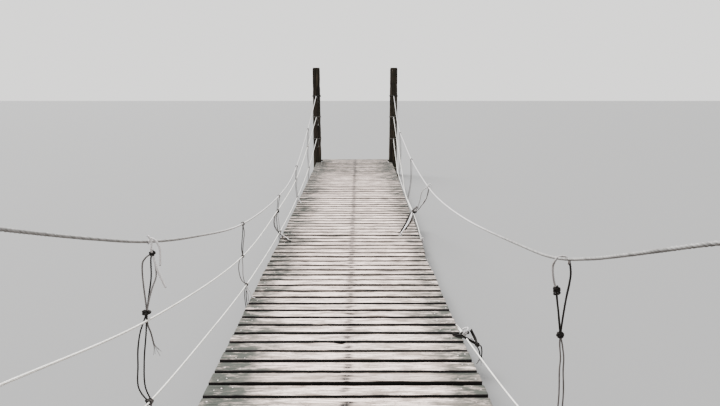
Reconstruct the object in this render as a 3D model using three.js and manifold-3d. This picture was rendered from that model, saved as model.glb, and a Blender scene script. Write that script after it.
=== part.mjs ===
// Rope suspension footbridge: a plank deck on cross bearers and two cables, with three ropes a side.
// Millimetres, +Z up, +X to the right, +Y from the near bank to the far bank.
// The origin is the middle of the near sill's underside, at ground level.
import * as THREE from 'three';
import Module from 'manifold-3d';
import { mergeVertices } from 'three/addons/utils/BufferGeometryUtils.js';

const wasm = await Module();
wasm.setup();

// Posts and sills
const POST_SPACING = 10750;
const POST_HEIGHT = 2050;
const POST_BASE_RADIUS = 86;
const POST_TOP_RADIUS = 78;
const POST_CHAMFER = 14;
const SILL_BEHIND_POSTS = 180;
const SILL_LENGTH = 1600;
const SILL_WIDTH = 150;
const SILL_HEIGHT = 150;
const NEAR_SILL_Y = 0;
const NEAR_POST_Y = NEAR_SILL_Y - SILL_BEHIND_POSTS;
const FAR_POST_Y = NEAR_POST_Y + POST_SPACING;
const FAR_SILL_Y = FAR_POST_Y - SILL_BEHIND_POSTS;

// Deck
const DECK_PAST_POSTS = 381.5;
const DECK_SAG = 50;
const BOARD_COUNT = 86;
const BOARD_WIDTH = 120.7;
const BOARD_GAP = 12.7;
const BOARD_THICKNESS = 28;
const BOARD_PITCH = BOARD_WIDTH + BOARD_GAP;
const BOARD_SEAT = 1;
const POST_CLEARANCE = 8;
const STRINGER_WIDTH = 70;
const STRINGER_DEPTH = 75;
const STRINGER_OFFSETS = [-605, 0, 605];
const BEARER_COUNT = 5;
const FIRST_BEARER_Y = 1113.75;
const BEARER_SPACING = 1915.5;
const BEARER_WIDTH = 90;
const BEARER_DEPTH = 70;
const LAST_BEARER_Y = 9720;
const TOUCH_GAP = 0.3;

// Left and right edges of the deck at its start, at each bearer and at its end
const DECK_EDGES = [
  [-712, 716],
  [-718, 722],
  [-736, 694],
  [-738, 700],
  [-750, 708],
  [-750, 722],
  [-750, 722],
  [-750, 718],
];

// Left and right ends of each bearer, and how far in from them a hanger's loop sits
const BEARER_ENDS = [
  [-930, 930],
  [-785, 704],
  [-787, 714],
  [-795, 738],
  [-800, 752],
  [-800, 800],
];
const LOOP_INSETS = [40, 22, 22, 22, 22, 40];

// Ropes and cables
const HAND_ROPE_RADIUS = 6.5;
const SIDE_ROPE_RADIUS = 4.5;
const STRAND_RADIUS = 4.2;
const DECK_CABLE_RADIUS = 8;
const DECK_CABLE_OFFSET = 350;
const CABLE_LOOP_LENGTH = 32;
const NOTCH_DEPTH = 22;
const NOTCH_WIDTH = 48;
const ROPE_GAP = 0.6;
const ROPE_SIDES = 8;
const STRAND_SIDES = 6;
const RING_SIDES = 8;
const POST_SIDES = 14;
const KNOT_SIDES = 7;
const KNOT_RINGS = 4;
const ROPE_STEP = 640;
const STOP_SPACING = 84;
const HALVINGS = 40;
const SIMPLIFY_TOLERANCE = 0.02;
const STRAIGHT_HALF = 28;
const POST_TURNS = 2;
const HAND_KNOT_RADIUS = 22;
const SIDE_KNOT_RADIUS = 16;
const KNOT_CLEARANCE = 1;
const WRAP_LENGTH = 25.2;
const GATHER_LENGTH = 33.6;
const BEARER_LOOP_LENGTH = 21;
const PAIR_HALF_GAP = 5.04;
const SLACK_HALF_GAP = 6.3;
const LOOP_BLUNT_SHARE = 0.6;
const GATHER_SQUEEZE = 0.3;

// Colours and finish
const WOOD_ROUGHNESS = 0.9;
const CABLE_ROUGHNESS = 0.6;
const CABLE_METALNESS = 0.7;
const POST_BROWN = 0x3b2e25;
const BOARD_GREY = 0x9c958a;
const BEARER_BROWN = 0x4a4036;
const HAND_ROPE_GREY = 0x5d5d5c;
const SIDE_ROPE_GREY = 0xb4b1a6;
const HANGER_BROWN = 0x6a6555;
const CABLE_GREY = 0x6f6f6c;

const bridge = new THREE.Group();

// Round shapes are welded at the origin, where their seams still match exactly
function weld(geometry) {
  const plain = geometry.clone();
  plain.deleteAttribute('normal');
  plain.deleteAttribute('uv');
  return mergeVertices(plain);
}

function toSolid(geometry) {
  const merged = weld(geometry);
  const vertProperties = new Float32Array(merged.attributes.position.array);
  const triVerts = new Uint32Array(merged.index.array);
  return new wasm.Manifold(new wasm.Mesh({ numProp: 3, vertProperties, triVerts }));
}

function toGeometry(solid) {
  const mesh = solid.getMesh();
  const geometry = new THREE.BufferGeometry();
  geometry.setAttribute('position', new THREE.BufferAttribute(mesh.vertProperties, 3));
  geometry.setIndex(new THREE.BufferAttribute(mesh.triVerts, 1));
  geometry.computeVertexNormals();
  return geometry;
}

function fuse(geometries) {
  let whole = toSolid(geometries[0]);
  for (const geometry of geometries.slice(1)) {
    whole = whole.add(toSolid(geometry));
  }
  return whole.simplify(SIMPLIFY_TOLERANCE);
}

function addPiece(name, geometry, colour, roughness = WOOD_ROUGHNESS, metalness = 0) {
  const material = new THREE.MeshStandardMaterial({ color: colour, roughness, metalness });
  const mesh = new THREE.Mesh(geometry, material);
  mesh.name = name;
  bridge.add(mesh);
  return mesh;
}

function box(x, y, z, sizeX, sizeY, sizeZ) {
  return new THREE.BoxGeometry(sizeX, sizeY, sizeZ).translate(x, y, z);
}

// A route visits its points one for one, so a straight stretch stays straight
class Route extends THREE.Curve {
  constructor(points) {
    super();
    this.points = points;
  }

  getPoint(t, target = new THREE.Vector3()) {
    const place = t * (this.points.length - 1);
    const index = Math.min(Math.floor(place), this.points.length - 2);
    return target.lerpVectors(this.points[index], this.points[index + 1], place - index);
  }

  getPointAt(u, target) {
    return this.getPoint(u, target);
  }

  getTangentAt(u, target = new THREE.Vector3()) {
    const last = this.points.length - 1;
    const index = Math.round(u * last);
    const before = this.points[Math.max(index - 1, 0)];
    const here = this.points[index];
    const after = this.points[Math.min(index + 1, last)];
    const incoming = here.clone().sub(before).normalize();
    const outgoing = after.clone().sub(here).normalize();
    return target.copy(incoming).add(outgoing).normalize();
  }
}

function disc(radius, sides) {
  const outline = new THREE.Shape();
  for (let side = 0; side < sides; side += 1) {
    const angle = (side * 2 * Math.PI) / sides;
    const x = radius * Math.cos(angle);
    const y = radius * Math.sin(angle);
    if (side === 0) {
      outline.moveTo(x, y);
    } else {
      outline.lineTo(x, y);
    }
  }
  outline.closePath();
  return outline;
}

function ropeAlong(points, radius, sides = ROPE_SIDES) {
  const route = new Route(points);
  const settings = { steps: points.length - 1, extrudePath: route, bevelEnabled: false };
  return new THREE.ExtrudeGeometry(disc(radius, sides), settings);
}

// A wrap is a short ring of rope turns round another rope or a post
function wrap(centre, direction, heldRadius, thickness, length, sides = RING_SIDES) {
  const inner = (heldRadius + ROPE_GAP) / Math.cos(Math.PI / sides);
  const outer = inner + thickness;
  const profile = [
    new THREE.Vector2(inner, -length / 2),
    new THREE.Vector2(outer, -length / 2),
    new THREE.Vector2(outer, length / 2),
    new THREE.Vector2(inner, length / 2),
    new THREE.Vector2(inner, -length / 2),
  ];
  const ring = weld(new THREE.LatheGeometry(profile, sides));
  const turn = new THREE.Quaternion();
  turn.setFromUnitVectors(new THREE.Vector3(0, 1, 0), direction.clone().normalize());
  return ring.applyQuaternion(turn).translate(centre.x, centre.y, centre.z);
}

function knot(centre, radius) {
  const lump = weld(new THREE.SphereGeometry(radius, KNOT_SIDES, KNOT_RINGS));
  return lump.translate(centre.x, centre.y, centre.z);
}

// A loop is a band of rope turns with blunt corners round a squared timber that lies along X
function timberLoop(x, y, z, timberWidth, timberDepth, thickness, length) {
  const halfWidth = timberWidth / 2 + ROPE_GAP;
  const halfDepth = timberDepth / 2 + ROPE_GAP;
  const outWidth = halfWidth + thickness;
  const outDepth = halfDepth + thickness;
  const blunt = LOOP_BLUNT_SHARE * thickness;
  const outline = new THREE.Shape();
  outline.moveTo(-outWidth, -outDepth + blunt);
  outline.lineTo(-outWidth + blunt, -outDepth);
  outline.lineTo(outWidth - blunt, -outDepth);
  outline.lineTo(outWidth, -outDepth + blunt);
  outline.lineTo(outWidth, outDepth - blunt);
  outline.lineTo(outWidth - blunt, outDepth);
  outline.lineTo(-outWidth + blunt, outDepth);
  outline.lineTo(-outWidth, outDepth - blunt);
  outline.closePath();
  const hole = new THREE.Path();
  hole.moveTo(-halfWidth, -halfDepth);
  hole.lineTo(-halfWidth, halfDepth);
  hole.lineTo(halfWidth, halfDepth);
  hole.lineTo(halfWidth, -halfDepth);
  hole.closePath();
  outline.holes.push(hole);
  const band = new THREE.ExtrudeGeometry(outline, { depth: length, bevelEnabled: false });
  const upright = new THREE.Matrix4().makeBasis(
    new THREE.Vector3(0, 1, 0),
    new THREE.Vector3(0, 0, 1),
    new THREE.Vector3(1, 0, 0),
  );
  return band.translate(0, 0, -length / 2).applyMatrix4(upright).translate(x, y, z);
}

// Deck levels
const DECK_START = NEAR_POST_Y - DECK_PAST_POSTS;
const NEAR_EDGE = NEAR_SILL_Y + SILL_WIDTH / 2;
const FAR_EDGE = FAR_SILL_Y - SILL_WIDTH / 2;
const DECK_TOP = SILL_HEIGHT + TOUCH_GAP + STRINGER_DEPTH + BOARD_THICKNESS - BOARD_SEAT;

function boardStart(index) {
  return DECK_START + index * BOARD_PITCH;
}

const DECK_END = boardStart(BOARD_COUNT) - BOARD_GAP;
const bayEnds = [];
for (let index = 0; index < BEARER_COUNT; index += 1) {
  bayEnds.push(FIRST_BEARER_Y + index * BEARER_SPACING);
}
const bearerPlaces = [...bayEnds, LAST_BEARER_Y];
bayEnds.push(DECK_END);

function sagAt(y) {
  const half = (FAR_EDGE - NEAR_EDGE) / 2;
  const fromMiddle = (y - (NEAR_EDGE + half)) / half;
  return DECK_SAG * (1 - fromMiddle * fromMiddle);
}

// The deck lies level on each sill and bearer, and runs straight from one to the next
const deckLine = [[DECK_START, 0], [NEAR_EDGE, 0]];
for (const y of bearerPlaces) {
  deckLine.push([y - BEARER_WIDTH / 2, -sagAt(y)]);
  deckLine.push([y + BEARER_WIDTH / 2, -sagAt(y)]);
}
deckLine.push([FAR_EDGE, 0], [DECK_END, 0]);

function deckDrop(y) {
  for (let index = 1; index < deckLine.length; index += 1) {
    const [endY, endDrop] = deckLine[index];
    if (y <= endY) {
      const [startY, startDrop] = deckLine[index - 1];
      return startDrop + ((y - startY) * (endDrop - startDrop)) / (endY - startY);
    }
  }
  return 0;
}

function stringerBottom(y) {
  return SILL_HEIGHT + TOUCH_GAP + deckDrop(y);
}

// Posts
const posts = {
  near_left: { x: -775, y: NEAR_POST_Y, river: 1 },
  near_right: { x: 840, y: NEAR_POST_Y, river: 1 },
  far_left: { x: -742, y: FAR_POST_Y, river: -1 },
  far_right: { x: 742, y: FAR_POST_Y, river: -1 },
};

function postRadius(z) {
  return POST_BASE_RADIUS + ((POST_TOP_RADIUS - POST_BASE_RADIUS) * z) / POST_HEIGHT;
}

function makePost(name, post) {
  const profile = [
    new THREE.Vector2(0, 0),
    new THREE.Vector2(POST_BASE_RADIUS, 0),
    new THREE.Vector2(postRadius(POST_HEIGHT - POST_CHAMFER), POST_HEIGHT - POST_CHAMFER),
    new THREE.Vector2(POST_TOP_RADIUS - POST_CHAMFER, POST_HEIGHT),
    new THREE.Vector2(0, POST_HEIGHT),
  ];
  const trunk = new THREE.LatheGeometry(profile, POST_SIDES).rotateX(Math.PI / 2);
  const mesh = addPiece(`${name}_post`, trunk, POST_BROWN);
  mesh.position.set(post.x, post.y, 0);
}

// Sills, notched underneath where the deck cables pass round them
function makeSill(name, y) {
  let sill = toSolid(box(0, y, SILL_HEIGHT / 2, SILL_LENGTH, SILL_WIDTH, SILL_HEIGHT));
  for (const x of [-DECK_CABLE_OFFSET, DECK_CABLE_OFFSET]) {
    sill = sill.subtract(toSolid(box(x, y, 0, NOTCH_WIDTH, 2 * SILL_WIDTH, 2 * NOTCH_DEPTH)));
  }
  addPiece(name, toGeometry(sill), BEARER_BROWN);
}

// Bearers
function bearerTop(index) {
  return stringerBottom(bearerPlaces[index]) - TOUCH_GAP;
}

function makeBearer(index) {
  const z = bearerTop(index) - BEARER_DEPTH / 2;
  const [left, right] = BEARER_ENDS[index];
  const timber = new THREE.BoxGeometry(right - left, BEARER_WIDTH, BEARER_DEPTH);
  const mesh = addPiece(`bearer_${index + 1}`, timber, BEARER_BROWN);
  mesh.position.set((left + right) / 2, bearerPlaces[index], z);
}

// Deck bays: each bay's boards are nailed to three stringers
function stringer(x, startY, endY) {
  const stops = [startY];
  for (const [y] of deckLine) {
    if (y > startY && y < endY) {
      stops.push(y);
    }
  }
  stops.push(endY);
  const outline = new THREE.Shape();
  outline.moveTo(stops[0], stringerBottom(stops[0]));
  for (const y of stops.slice(1)) {
    outline.lineTo(y, stringerBottom(y));
  }
  for (const y of stops.toReversed()) {
    outline.lineTo(y, stringerBottom(y) + STRINGER_DEPTH);
  }
  outline.closePath();
  const beam = new THREE.ExtrudeGeometry(outline, { depth: STRINGER_WIDTH, bevelEnabled: false });
  const alongDeck = new THREE.Matrix4().makeBasis(
    new THREE.Vector3(0, 1, 0),
    new THREE.Vector3(0, 0, 1),
    new THREE.Vector3(1, 0, 0),
  );
  return beam.applyMatrix4(alongDeck).translate(x - STRINGER_WIDTH / 2, 0, 0);
}

// The deck's edges run straight from each place where they are given to the next
function deckEdge(side, y) {
  const places = [DECK_START, ...bearerPlaces, DECK_END];
  const column = side < 0 ? 0 : 1;
  let index = 1;
  while (index < places.length - 1 && y > places[index]) {
    index += 1;
  }
  const before = DECK_EDGES[index - 1][column];
  const after = DECK_EDGES[index][column];
  const share = (y - places[index - 1]) / (places[index] - places[index - 1]);
  return before + (after - before) * share;
}

// A board beside a post that stands inside the deck's width is cut short of it
function boardEnd(side, y) {
  let end = Math.abs(deckEdge(side, y));
  for (const post of Object.values(posts)) {
    const beside = Math.abs(y - post.y) < POST_BASE_RADIUS + BOARD_WIDTH / 2;
    if (beside && Math.sign(post.x) === side) {
      end = Math.min(end, Math.abs(post.x) - POST_BASE_RADIUS - POST_CLEARANCE);
    }
  }
  return side * end;
}

function boardMiddle(index) {
  return boardStart(index) + BOARD_WIDTH / 2;
}

function board(index, margin = 0) {
  const y = boardMiddle(index);
  const left = boardEnd(-1, y);
  const right = boardEnd(1, y);
  const rise = deckDrop(y + BOARD_WIDTH / 2) - deckDrop(y - BOARD_WIDTH / 2);
  const tilt = Math.atan(rise / BOARD_WIDTH);
  const z = DECK_TOP + deckDrop(y) - BOARD_THICKNESS / 2;
  const grown = 2 * margin;
  const plank = new THREE.BoxGeometry(right - left, BOARD_WIDTH + grown, BOARD_THICKNESS + grown);
  return plank.rotateX(tilt).translate((left + right) / 2, y, z);
}

// A board over a bearer may reach past its bay's stringers, and the next ones are eased to clear it
function makeDeckBay(index) {
  const isLast = index === bayEnds.length - 1;
  const start = index === 0 ? DECK_START : bayEnds[index - 1] + TOUCH_GAP;
  const end = isLast ? DECK_END : bayEnds[index] - TOUCH_GAP;
  const pieces = STRINGER_OFFSETS.map((x) => stringer(x, start, end));
  const neighbours = [];
  for (let step = 0; step < BOARD_COUNT; step += 1) {
    const y = boardMiddle(step);
    if (y > start && y < end) {
      pieces.push(board(step));
    } else if (y > start - BOARD_WIDTH && y < end + BOARD_WIDTH) {
      neighbours.push(board(step, TOUCH_GAP));
    }
  }
  let bay = fuse(pieces);
  for (const neighbour of neighbours) {
    bay = bay.subtract(toSolid(neighbour));
  }
  addPiece(`deck_bay_${index + 1}`, toGeometry(bay.simplify(SIMPLIFY_TOLERANCE)), BOARD_GREY);
}

// Deck cables: over the sills, under the bearers, and looped round each sill in its notch
function makeDeckCable(name, x) {
  const overSill = SILL_HEIGHT + ROPE_GAP + DECK_CABLE_RADIUS;
  const points = [
    new THREE.Vector3(x, NEAR_SILL_Y - SILL_WIDTH / 2, overSill),
    new THREE.Vector3(x, NEAR_EDGE + DECK_CABLE_RADIUS, overSill),
  ];
  bearerPlaces.forEach((y, index) => {
    const z = bearerTop(index) - BEARER_DEPTH - ROPE_GAP - DECK_CABLE_RADIUS;
    const half = BEARER_WIDTH / 2 + DECK_CABLE_RADIUS;
    points.push(new THREE.Vector3(x, y - half, z));
    points.push(new THREE.Vector3(x, y + half, z));
  });
  points.push(new THREE.Vector3(x, FAR_EDGE - DECK_CABLE_RADIUS, overSill));
  points.push(new THREE.Vector3(x, FAR_SILL_Y + SILL_WIDTH / 2, overSill));
  const pieces = [ropeAlong(points, DECK_CABLE_RADIUS)];
  const loopDepth = SILL_HEIGHT - NOTCH_DEPTH;
  const loopZ = NOTCH_DEPTH + loopDepth / 2;
  const thickness = 2 * DECK_CABLE_RADIUS;
  for (const y of [NEAR_SILL_Y, FAR_SILL_Y]) {
    pieces.push(timberLoop(x, y, loopZ, SILL_WIDTH, loopDepth, thickness, CABLE_LOOP_LENGTH));
  }
  addPiece(name, toGeometry(fuse(pieces)), CABLE_GREY, CABLE_ROUGHNESS, CABLE_METALNESS);
}

// Rope routes between the posts: x, y and height above the ends of the deck, by hand
const routes = {
  left_hand_rope: {
    radius: HAND_ROPE_RADIUS,
    ties: { near_left: 1266, far_left: 1266 },
    points: [
      [-772, 177, 1177],
      [-770, 636, 1033],
      [-770, 1105, 898],
      [-770, 1790, 742],
      [-770, 2990, 521],
      [-770, 5070, 346],
      [-770, 6495, 365],
      [-770, 8673, 737],
    ],
  },
  left_mid_rope: {
    radius: SIDE_ROPE_RADIUS,
    ties: { near_left: 870, far_left: 870 },
    points: [
      [-778, 120, 815],
      [-783, 1080, 578],
      [-780, 3030, 273],
      [-780, 4860, 207],
      [-780, 6970, 236],
      [-778, 8800, 480],
    ],
  },
  left_low_rope: {
    radius: SIDE_ROPE_RADIUS,
    ties: { near_left: 470, far_left: 450 },
    points: [
      [-780, 1030, 250],
      [-765, 1730, 178],
      [-760, 3040, 56],
      [-760, 4870, -20],
      [-768, 6880, -18],
      [-765, 8750, 120],
    ],
  },
  right_hand_rope: {
    radius: HAND_ROPE_RADIUS,
    ties: { near_right: 1225, far_right: 1270 },
    points: [
      [806, 10, 1188],
      [801, 660, 960],
      [805, 1020, 858],
      [805, 1550, 769],
      [802, 2800, 595],
      [800, 4140, 471],
      [800, 5110, 433],
      [778, 6835, 496],
      [766, 7900, 601],
      [750, 9170, 776],
    ],
  },
  right_mid_rope: {
    radius: SIDE_ROPE_RADIUS,
    ties: { far_right: 870 },
    points: [
      [720, 2335, -48],
      [720, 2390, -56],
      [720, 2480, -66],
      [703, 2640, -92],
      [668, 2860, -104],
      [652, 3060, -98],
      [650, 3700, -90],
      [651, 4150, -93],
      [664, 4450, -100],
      [691, 4750, -104],
      [708, 5000, -92],
      [720, 5400, -74],
      [720, 5880, -40],
      [720, 5970, -36],
      [720, 6060, -36],
      [722, 7000, -30],
      [730, 7460, 15],
      [735, 7820, 118],
      [735, 8380, 272],
      [734, 8790, 420],
      [733, 9120, 490],
    ],
  },
  right_low_rope: {
    radius: SIDE_ROPE_RADIUS,
    ties: { near_right: 440, far_right: 450 },
    points: [
      [775, 500, 290],
      [740, 1160, 160],
      [730, 2313, -44],
      [729.5, 2390, -56],
      [729.5, 2480, -66],
      [717, 2640, -88],
      [684, 2860, -99],
      [666, 3060, -93],
      [664, 3700, -92],
      [665, 4150, -95],
      [680, 4450, -102],
      [706, 4750, -106],
      [722, 5000, -94],
      [733, 5400, -76],
      [730, 5880, -40],
      [729.5, 5970, -36],
      [730, 6060, -36],
      [733, 7000, -42],
      [732, 8140, -18],
      [735, 8970, 38],
    ],
  },
};

function tiePoint(postName, height, radius) {
  const post = posts[postName];
  const z = DECK_TOP + height;
  const y = post.y + post.river * (postRadius(z) + ROPE_GAP + radius);
  return new THREE.Vector3(post.x, y, z);
}

function smoothRoute(name) {
  const { radius, ties, points } = routes[name];
  const all = points.map(([x, y, height]) => new THREE.Vector3(x, y, DECK_TOP + height));
  for (const [postName, height] of Object.entries(ties)) {
    if (posts[postName].river > 0) {
      all.unshift(tiePoint(postName, height, radius));
    } else {
      all.push(tiePoint(postName, height, radius));
    }
  }
  return new THREE.CatmullRomCurve3(all, false, 'centripetal');
}

function pointAtY(curve, y) {
  let low = 0;
  let high = 1;
  for (let step = 0; step < HALVINGS; step += 1) {
    const middle = (low + high) / 2;
    if (curve.getPoint(middle).y < y) {
      low = middle;
    } else {
      high = middle;
    }
  }
  return curve.getPoint((low + high) / 2);
}

// Where a hanger crosses a rope, the rope runs straight through the hanger's wrap
const crossings = {
  left_hand_rope: [],
  left_mid_rope: [],
  left_low_rope: [],
  right_hand_rope: [],
  right_mid_rope: [],
  right_low_rope: [],
};

function crossing(name, y) {
  crossings[name].push(y);
  const curve = smoothRoute(name);
  const before = pointAtY(curve, y - STRAIGHT_HALF);
  const after = pointAtY(curve, y + STRAIGHT_HALF);
  const centre = before.clone().lerp(after, 0.5);
  const direction = after.sub(before).normalize();
  return { centre, direction, radius: routes[name].radius };
}

function makeRope(name, colour) {
  const { radius, ties } = routes[name];
  const curve = smoothRoute(name);
  const startY = curve.points[0].y;
  const endY = curve.points[curve.points.length - 1].y;
  const count = Math.round((endY - startY) / ROPE_STEP);
  const stops = [startY, endY];
  for (const y of crossings[name]) {
    stops.push(y - STRAIGHT_HALF, y + STRAIGHT_HALF);
  }
  for (let step = 1; step < count; step += 1) {
    const y = startY + ((endY - startY) * step) / count;
    if (stops.every((stop) => Math.abs(stop - y) > STOP_SPACING)) {
      stops.push(y);
    }
  }
  stops.sort((a, b) => a - b);
  const line = stops.map((y) => pointAtY(curve, y));
  const isHandRope = radius === HAND_ROPE_RADIUS;
  const pieces = [ropeAlong(line, radius, isHandRope ? ROPE_SIDES : STRAND_SIDES)];
  const knotRadius = isHandRope ? HAND_KNOT_RADIUS : SIDE_KNOT_RADIUS;
  const up = new THREE.Vector3(0, 0, 1);
  for (const [postName, height] of Object.entries(ties)) {
    const post = posts[postName];
    const centre = new THREE.Vector3(post.x, post.y, DECK_TOP + height);
    const thickness = 2 * radius;
    const flatRadius = postRadius(centre.z) * Math.cos(Math.PI / POST_SIDES);
    pieces.push(wrap(centre, up, flatRadius, thickness, POST_TURNS * thickness, POST_SIDES));
    const tie = tiePoint(postName, height, radius);
    tie.y = post.y + post.river * (postRadius(tie.z) + ROPE_GAP + knotRadius);
    pieces.push(knot(tie, knotRadius - KNOT_CLEARANCE));
  }
  addPiece(name, toGeometry(fuse(pieces)), colour);
}

// Hangers: two strands with a wrap at each rope that they cross, looped round a bearer's end
function strand(points, shift) {
  return ropeAlong(
    points.map((point, index) => point.clone().add(new THREE.Vector3(shift[index], 0, 0))),
    STRAND_RADIUS,
    STRAND_SIDES,
  );
}

function loopPlace(side, bearer) {
  const end = BEARER_ENDS[bearer][side < 0 ? 0 : 1];
  const x = end - side * LOOP_INSETS[bearer];
  return new THREE.Vector3(x, bearerPlaces[bearer], bearerTop(bearer) - BEARER_DEPTH / 2);
}

function bearerLoop(place) {
  const thickness = 2 * STRAND_RADIUS;
  const { x, y, z } = place;
  return timberLoop(x, y, z, BEARER_WIDTH, BEARER_DEPTH, thickness, BEARER_LOOP_LENGTH);
}

function makeHanger(name, side, bearer, held, slack = []) {
  const pieces = [];
  const middles = [];
  const shifts = [];
  for (const { centre, direction, radius } of held) {
    pieces.push(wrap(centre, direction, radius, 2 * STRAND_RADIUS, WRAP_LENGTH));
    middles.push(centre);
    shifts.push(radius + ROPE_GAP + STRAND_RADIUS);
  }
  for (const [x, y, height] of slack) {
    middles.push(new THREE.Vector3(x, y, DECK_TOP + height));
    shifts.push(SLACK_HALF_GAP);
  }
  const place = loopPlace(side, bearer);
  const loopTop = place.clone();
  loopTop.z += BEARER_DEPTH / 2 + ROPE_GAP + STRAND_RADIUS;
  middles.push(loopTop);
  shifts.push(PAIR_HALF_GAP);
  pieces.push(bearerLoop(place));
  pieces.push(strand(middles, shifts));
  pieces.push(strand(middles, shifts.map((shift) => -shift)));
  addPiece(name, toGeometry(fuse(pieces)), HANGER_BROWN);
}

// The third left hanger is tied to the hand rope a little past its bearer
const LEFT_TOP_SHIFTS = [0, 0, 60, 0, 0];
for (let index = 0; index < LEFT_TOP_SHIFTS.length; index += 1) {
  const y = bearerPlaces[index];
  const held = [
    crossing('left_hand_rope', y + LEFT_TOP_SHIFTS[index]),
    crossing('left_mid_rope', y),
    crossing('left_low_rope', y),
  ];
  makeHanger(`left_hanger_${index + 1}`, -1, index, held);
}

// On the right the first hanger holds the hand rope alone, past the fallen middle rope's end
const RIGHT_FIRST_TOP_Y = 1020;
const RIGHT_FIRST_SLACK = [[850, 1050, 543], [878, 1090, 240]];
const firstTop = crossing('right_hand_rope', RIGHT_FIRST_TOP_Y);
makeHanger('right_hanger_1', 1, 0, [firstTop], RIGHT_FIRST_SLACK);
const RIGHT_FOURTH_SLACK = [[757, 6860.25, -20]];
const RIGHT_FIFTH_SLACK = [[758, bearerPlaces[4], 20]];
const rightSlacks = { 3: RIGHT_FOURTH_SLACK, 4: RIGHT_FIFTH_SLACK };
for (const index of [3, 4]) {
  const top = crossing('right_hand_rope', bearerPlaces[index]);
  makeHanger(`right_hanger_${index + 1}`, 1, index, [top], rightSlacks[index]);
}

function above(x, y, height) {
  return new THREE.Vector3(x, y, DECK_TOP + height);
}

function onDeck(x, y) {
  return above(x, y, deckDrop(y) + ROPE_GAP + STRAND_RADIUS);
}

// A gathering knot holds the right mid and low ropes side by side, close against the deck's edge
function gather(y) {
  const mid = crossing('right_mid_rope', y);
  const low = crossing('right_low_rope', y);
  const centre = mid.centre.clone().lerp(low.centre, 0.5);
  const heldRadius = mid.centre.distanceTo(low.centre) / 2 + SIDE_ROPE_RADIUS - GATHER_SQUEEZE;
  return { centre, direction: mid.direction, heldRadius };
}

// The second right hanger has broken: its stub is tied to both ropes, one end on the deck
const STUB_Y = 2390;
const STUB_ON_DECK = [[710, 2388], [612, 2350]];
const STUB_HANGING = [[795, 2310, -75], [812, 2200, -140]];
function makeStub() {
  const { centre, direction, heldRadius } = gather(STUB_Y);
  const ringMiddle = heldRadius + ROPE_GAP + PAIR_HALF_GAP;
  const overEdge = centre.clone().add(new THREE.Vector3(0, 0, ringMiddle));
  const outside = centre.clone().add(new THREE.Vector3(ringMiddle, 0, 0));
  const lying = [overEdge, ...STUB_ON_DECK.map(([x, y]) => onDeck(x, y))];
  const hanging = [outside, ...STUB_HANGING.map(([x, y, height]) => above(x, y, height))];
  const pieces = [
    wrap(centre, direction, heldRadius, 2 * STRAND_RADIUS, GATHER_LENGTH),
    ropeAlong(lying, STRAND_RADIUS, STRAND_SIDES),
    ropeAlong(hanging, STRAND_RADIUS, STRAND_SIDES),
  ];
  addPiece('right_hanger_2_stub', toGeometry(fuse(pieces)), HANGER_BROWN);
}

// The third right hanger slants to a knot that gathers both side ropes against the deck's edge
const GATHER_Y = 5970;
const THIRD_TOP_Y = 5050;
const BACK_TO_BEARER = [[765, 5700, -88], [760, 5250, -125]];
const TAIL_BEND = [682, 5910];
const TAIL_ENDS = [[505, 5000], [560, 5120]];
const STRAND_LEANS = { '-1': Math.PI / 4, 1: 0 };
function makeSlackHanger() {
  const top = crossing('right_hand_rope', THIRD_TOP_Y);
  const { centre, direction, heldRadius } = gather(GATHER_Y);
  const ringMiddle = heldRadius + ROPE_GAP + PAIR_HALF_GAP;
  const topShift = top.radius + ROPE_GAP + STRAND_RADIUS;
  const place = loopPlace(1, 2);
  const loopTop = place.z + BEARER_DEPTH / 2 + ROPE_GAP + STRAND_RADIUS;
  const thickness = 2 * STRAND_RADIUS;
  const pieces = [
    wrap(top.centre, top.direction, top.radius, thickness, WRAP_LENGTH),
    wrap(centre, direction, heldRadius, thickness, GATHER_LENGTH),
    bearerLoop(place),
  ];
  for (const side of [-1, 1]) {
    const start = top.centre.clone().add(new THREE.Vector3(side * topShift, 0, 0));
    const lean = STRAND_LEANS[side];
    const arrive = centre.clone();
    arrive.x += ringMiddle * Math.cos(lean);
    arrive.z += ringMiddle * Math.sin(lean);
    pieces.push(ropeAlong([start, arrive], STRAND_RADIUS, STRAND_SIDES));
    const leave = centre.clone();
    leave.x += ringMiddle * Math.cos(lean);
    leave.z -= ringMiddle * Math.sin(lean);
    const shift = side * PAIR_HALF_GAP;
    const line = [leave, ...BACK_TO_BEARER.map(([x, y, height]) => above(x + shift, y, height))];
    line.push(new THREE.Vector3(place.x + shift, place.y, loopTop));
    pieces.push(ropeAlong(line, STRAND_RADIUS, STRAND_SIDES));
  }
  for (const [x, y] of TAIL_ENDS) {
    const rise = centre.clone().add(new THREE.Vector3(0, 0, ringMiddle));
    const line = [rise, onDeck(...TAIL_BEND), onDeck(x, y)];
    pieces.push(ropeAlong(line, STRAND_RADIUS, STRAND_SIDES));
  }
  addPiece('right_hanger_3', toGeometry(fuse(pieces)), HANGER_BROWN);
}

makeStub();
makeSlackHanger();

for (const name of Object.keys(posts)) {
  makePost(name, posts[name]);
}
makeSill('near_sill', NEAR_SILL_Y);
makeSill('far_sill', FAR_SILL_Y);
for (let index = 0; index < bearerPlaces.length; index += 1) {
  makeBearer(index);
}
for (let index = 0; index < bayEnds.length; index += 1) {
  makeDeckBay(index);
}
makeDeckCable('left_deck_cable', -DECK_CABLE_OFFSET);
makeDeckCable('right_deck_cable', DECK_CABLE_OFFSET);
makeRope('left_hand_rope', HAND_ROPE_GREY);
makeRope('right_hand_rope', HAND_ROPE_GREY);
for (const name of ['left_mid_rope', 'left_low_rope', 'right_mid_rope', 'right_low_rope']) {
  makeRope(name, SIDE_ROPE_GREY);
}

export default bridge;
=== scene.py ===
"""Dresses the rope suspension footbridge, in metres: boards, trunks, timbers, ropes, knots and cables."""
import math

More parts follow.
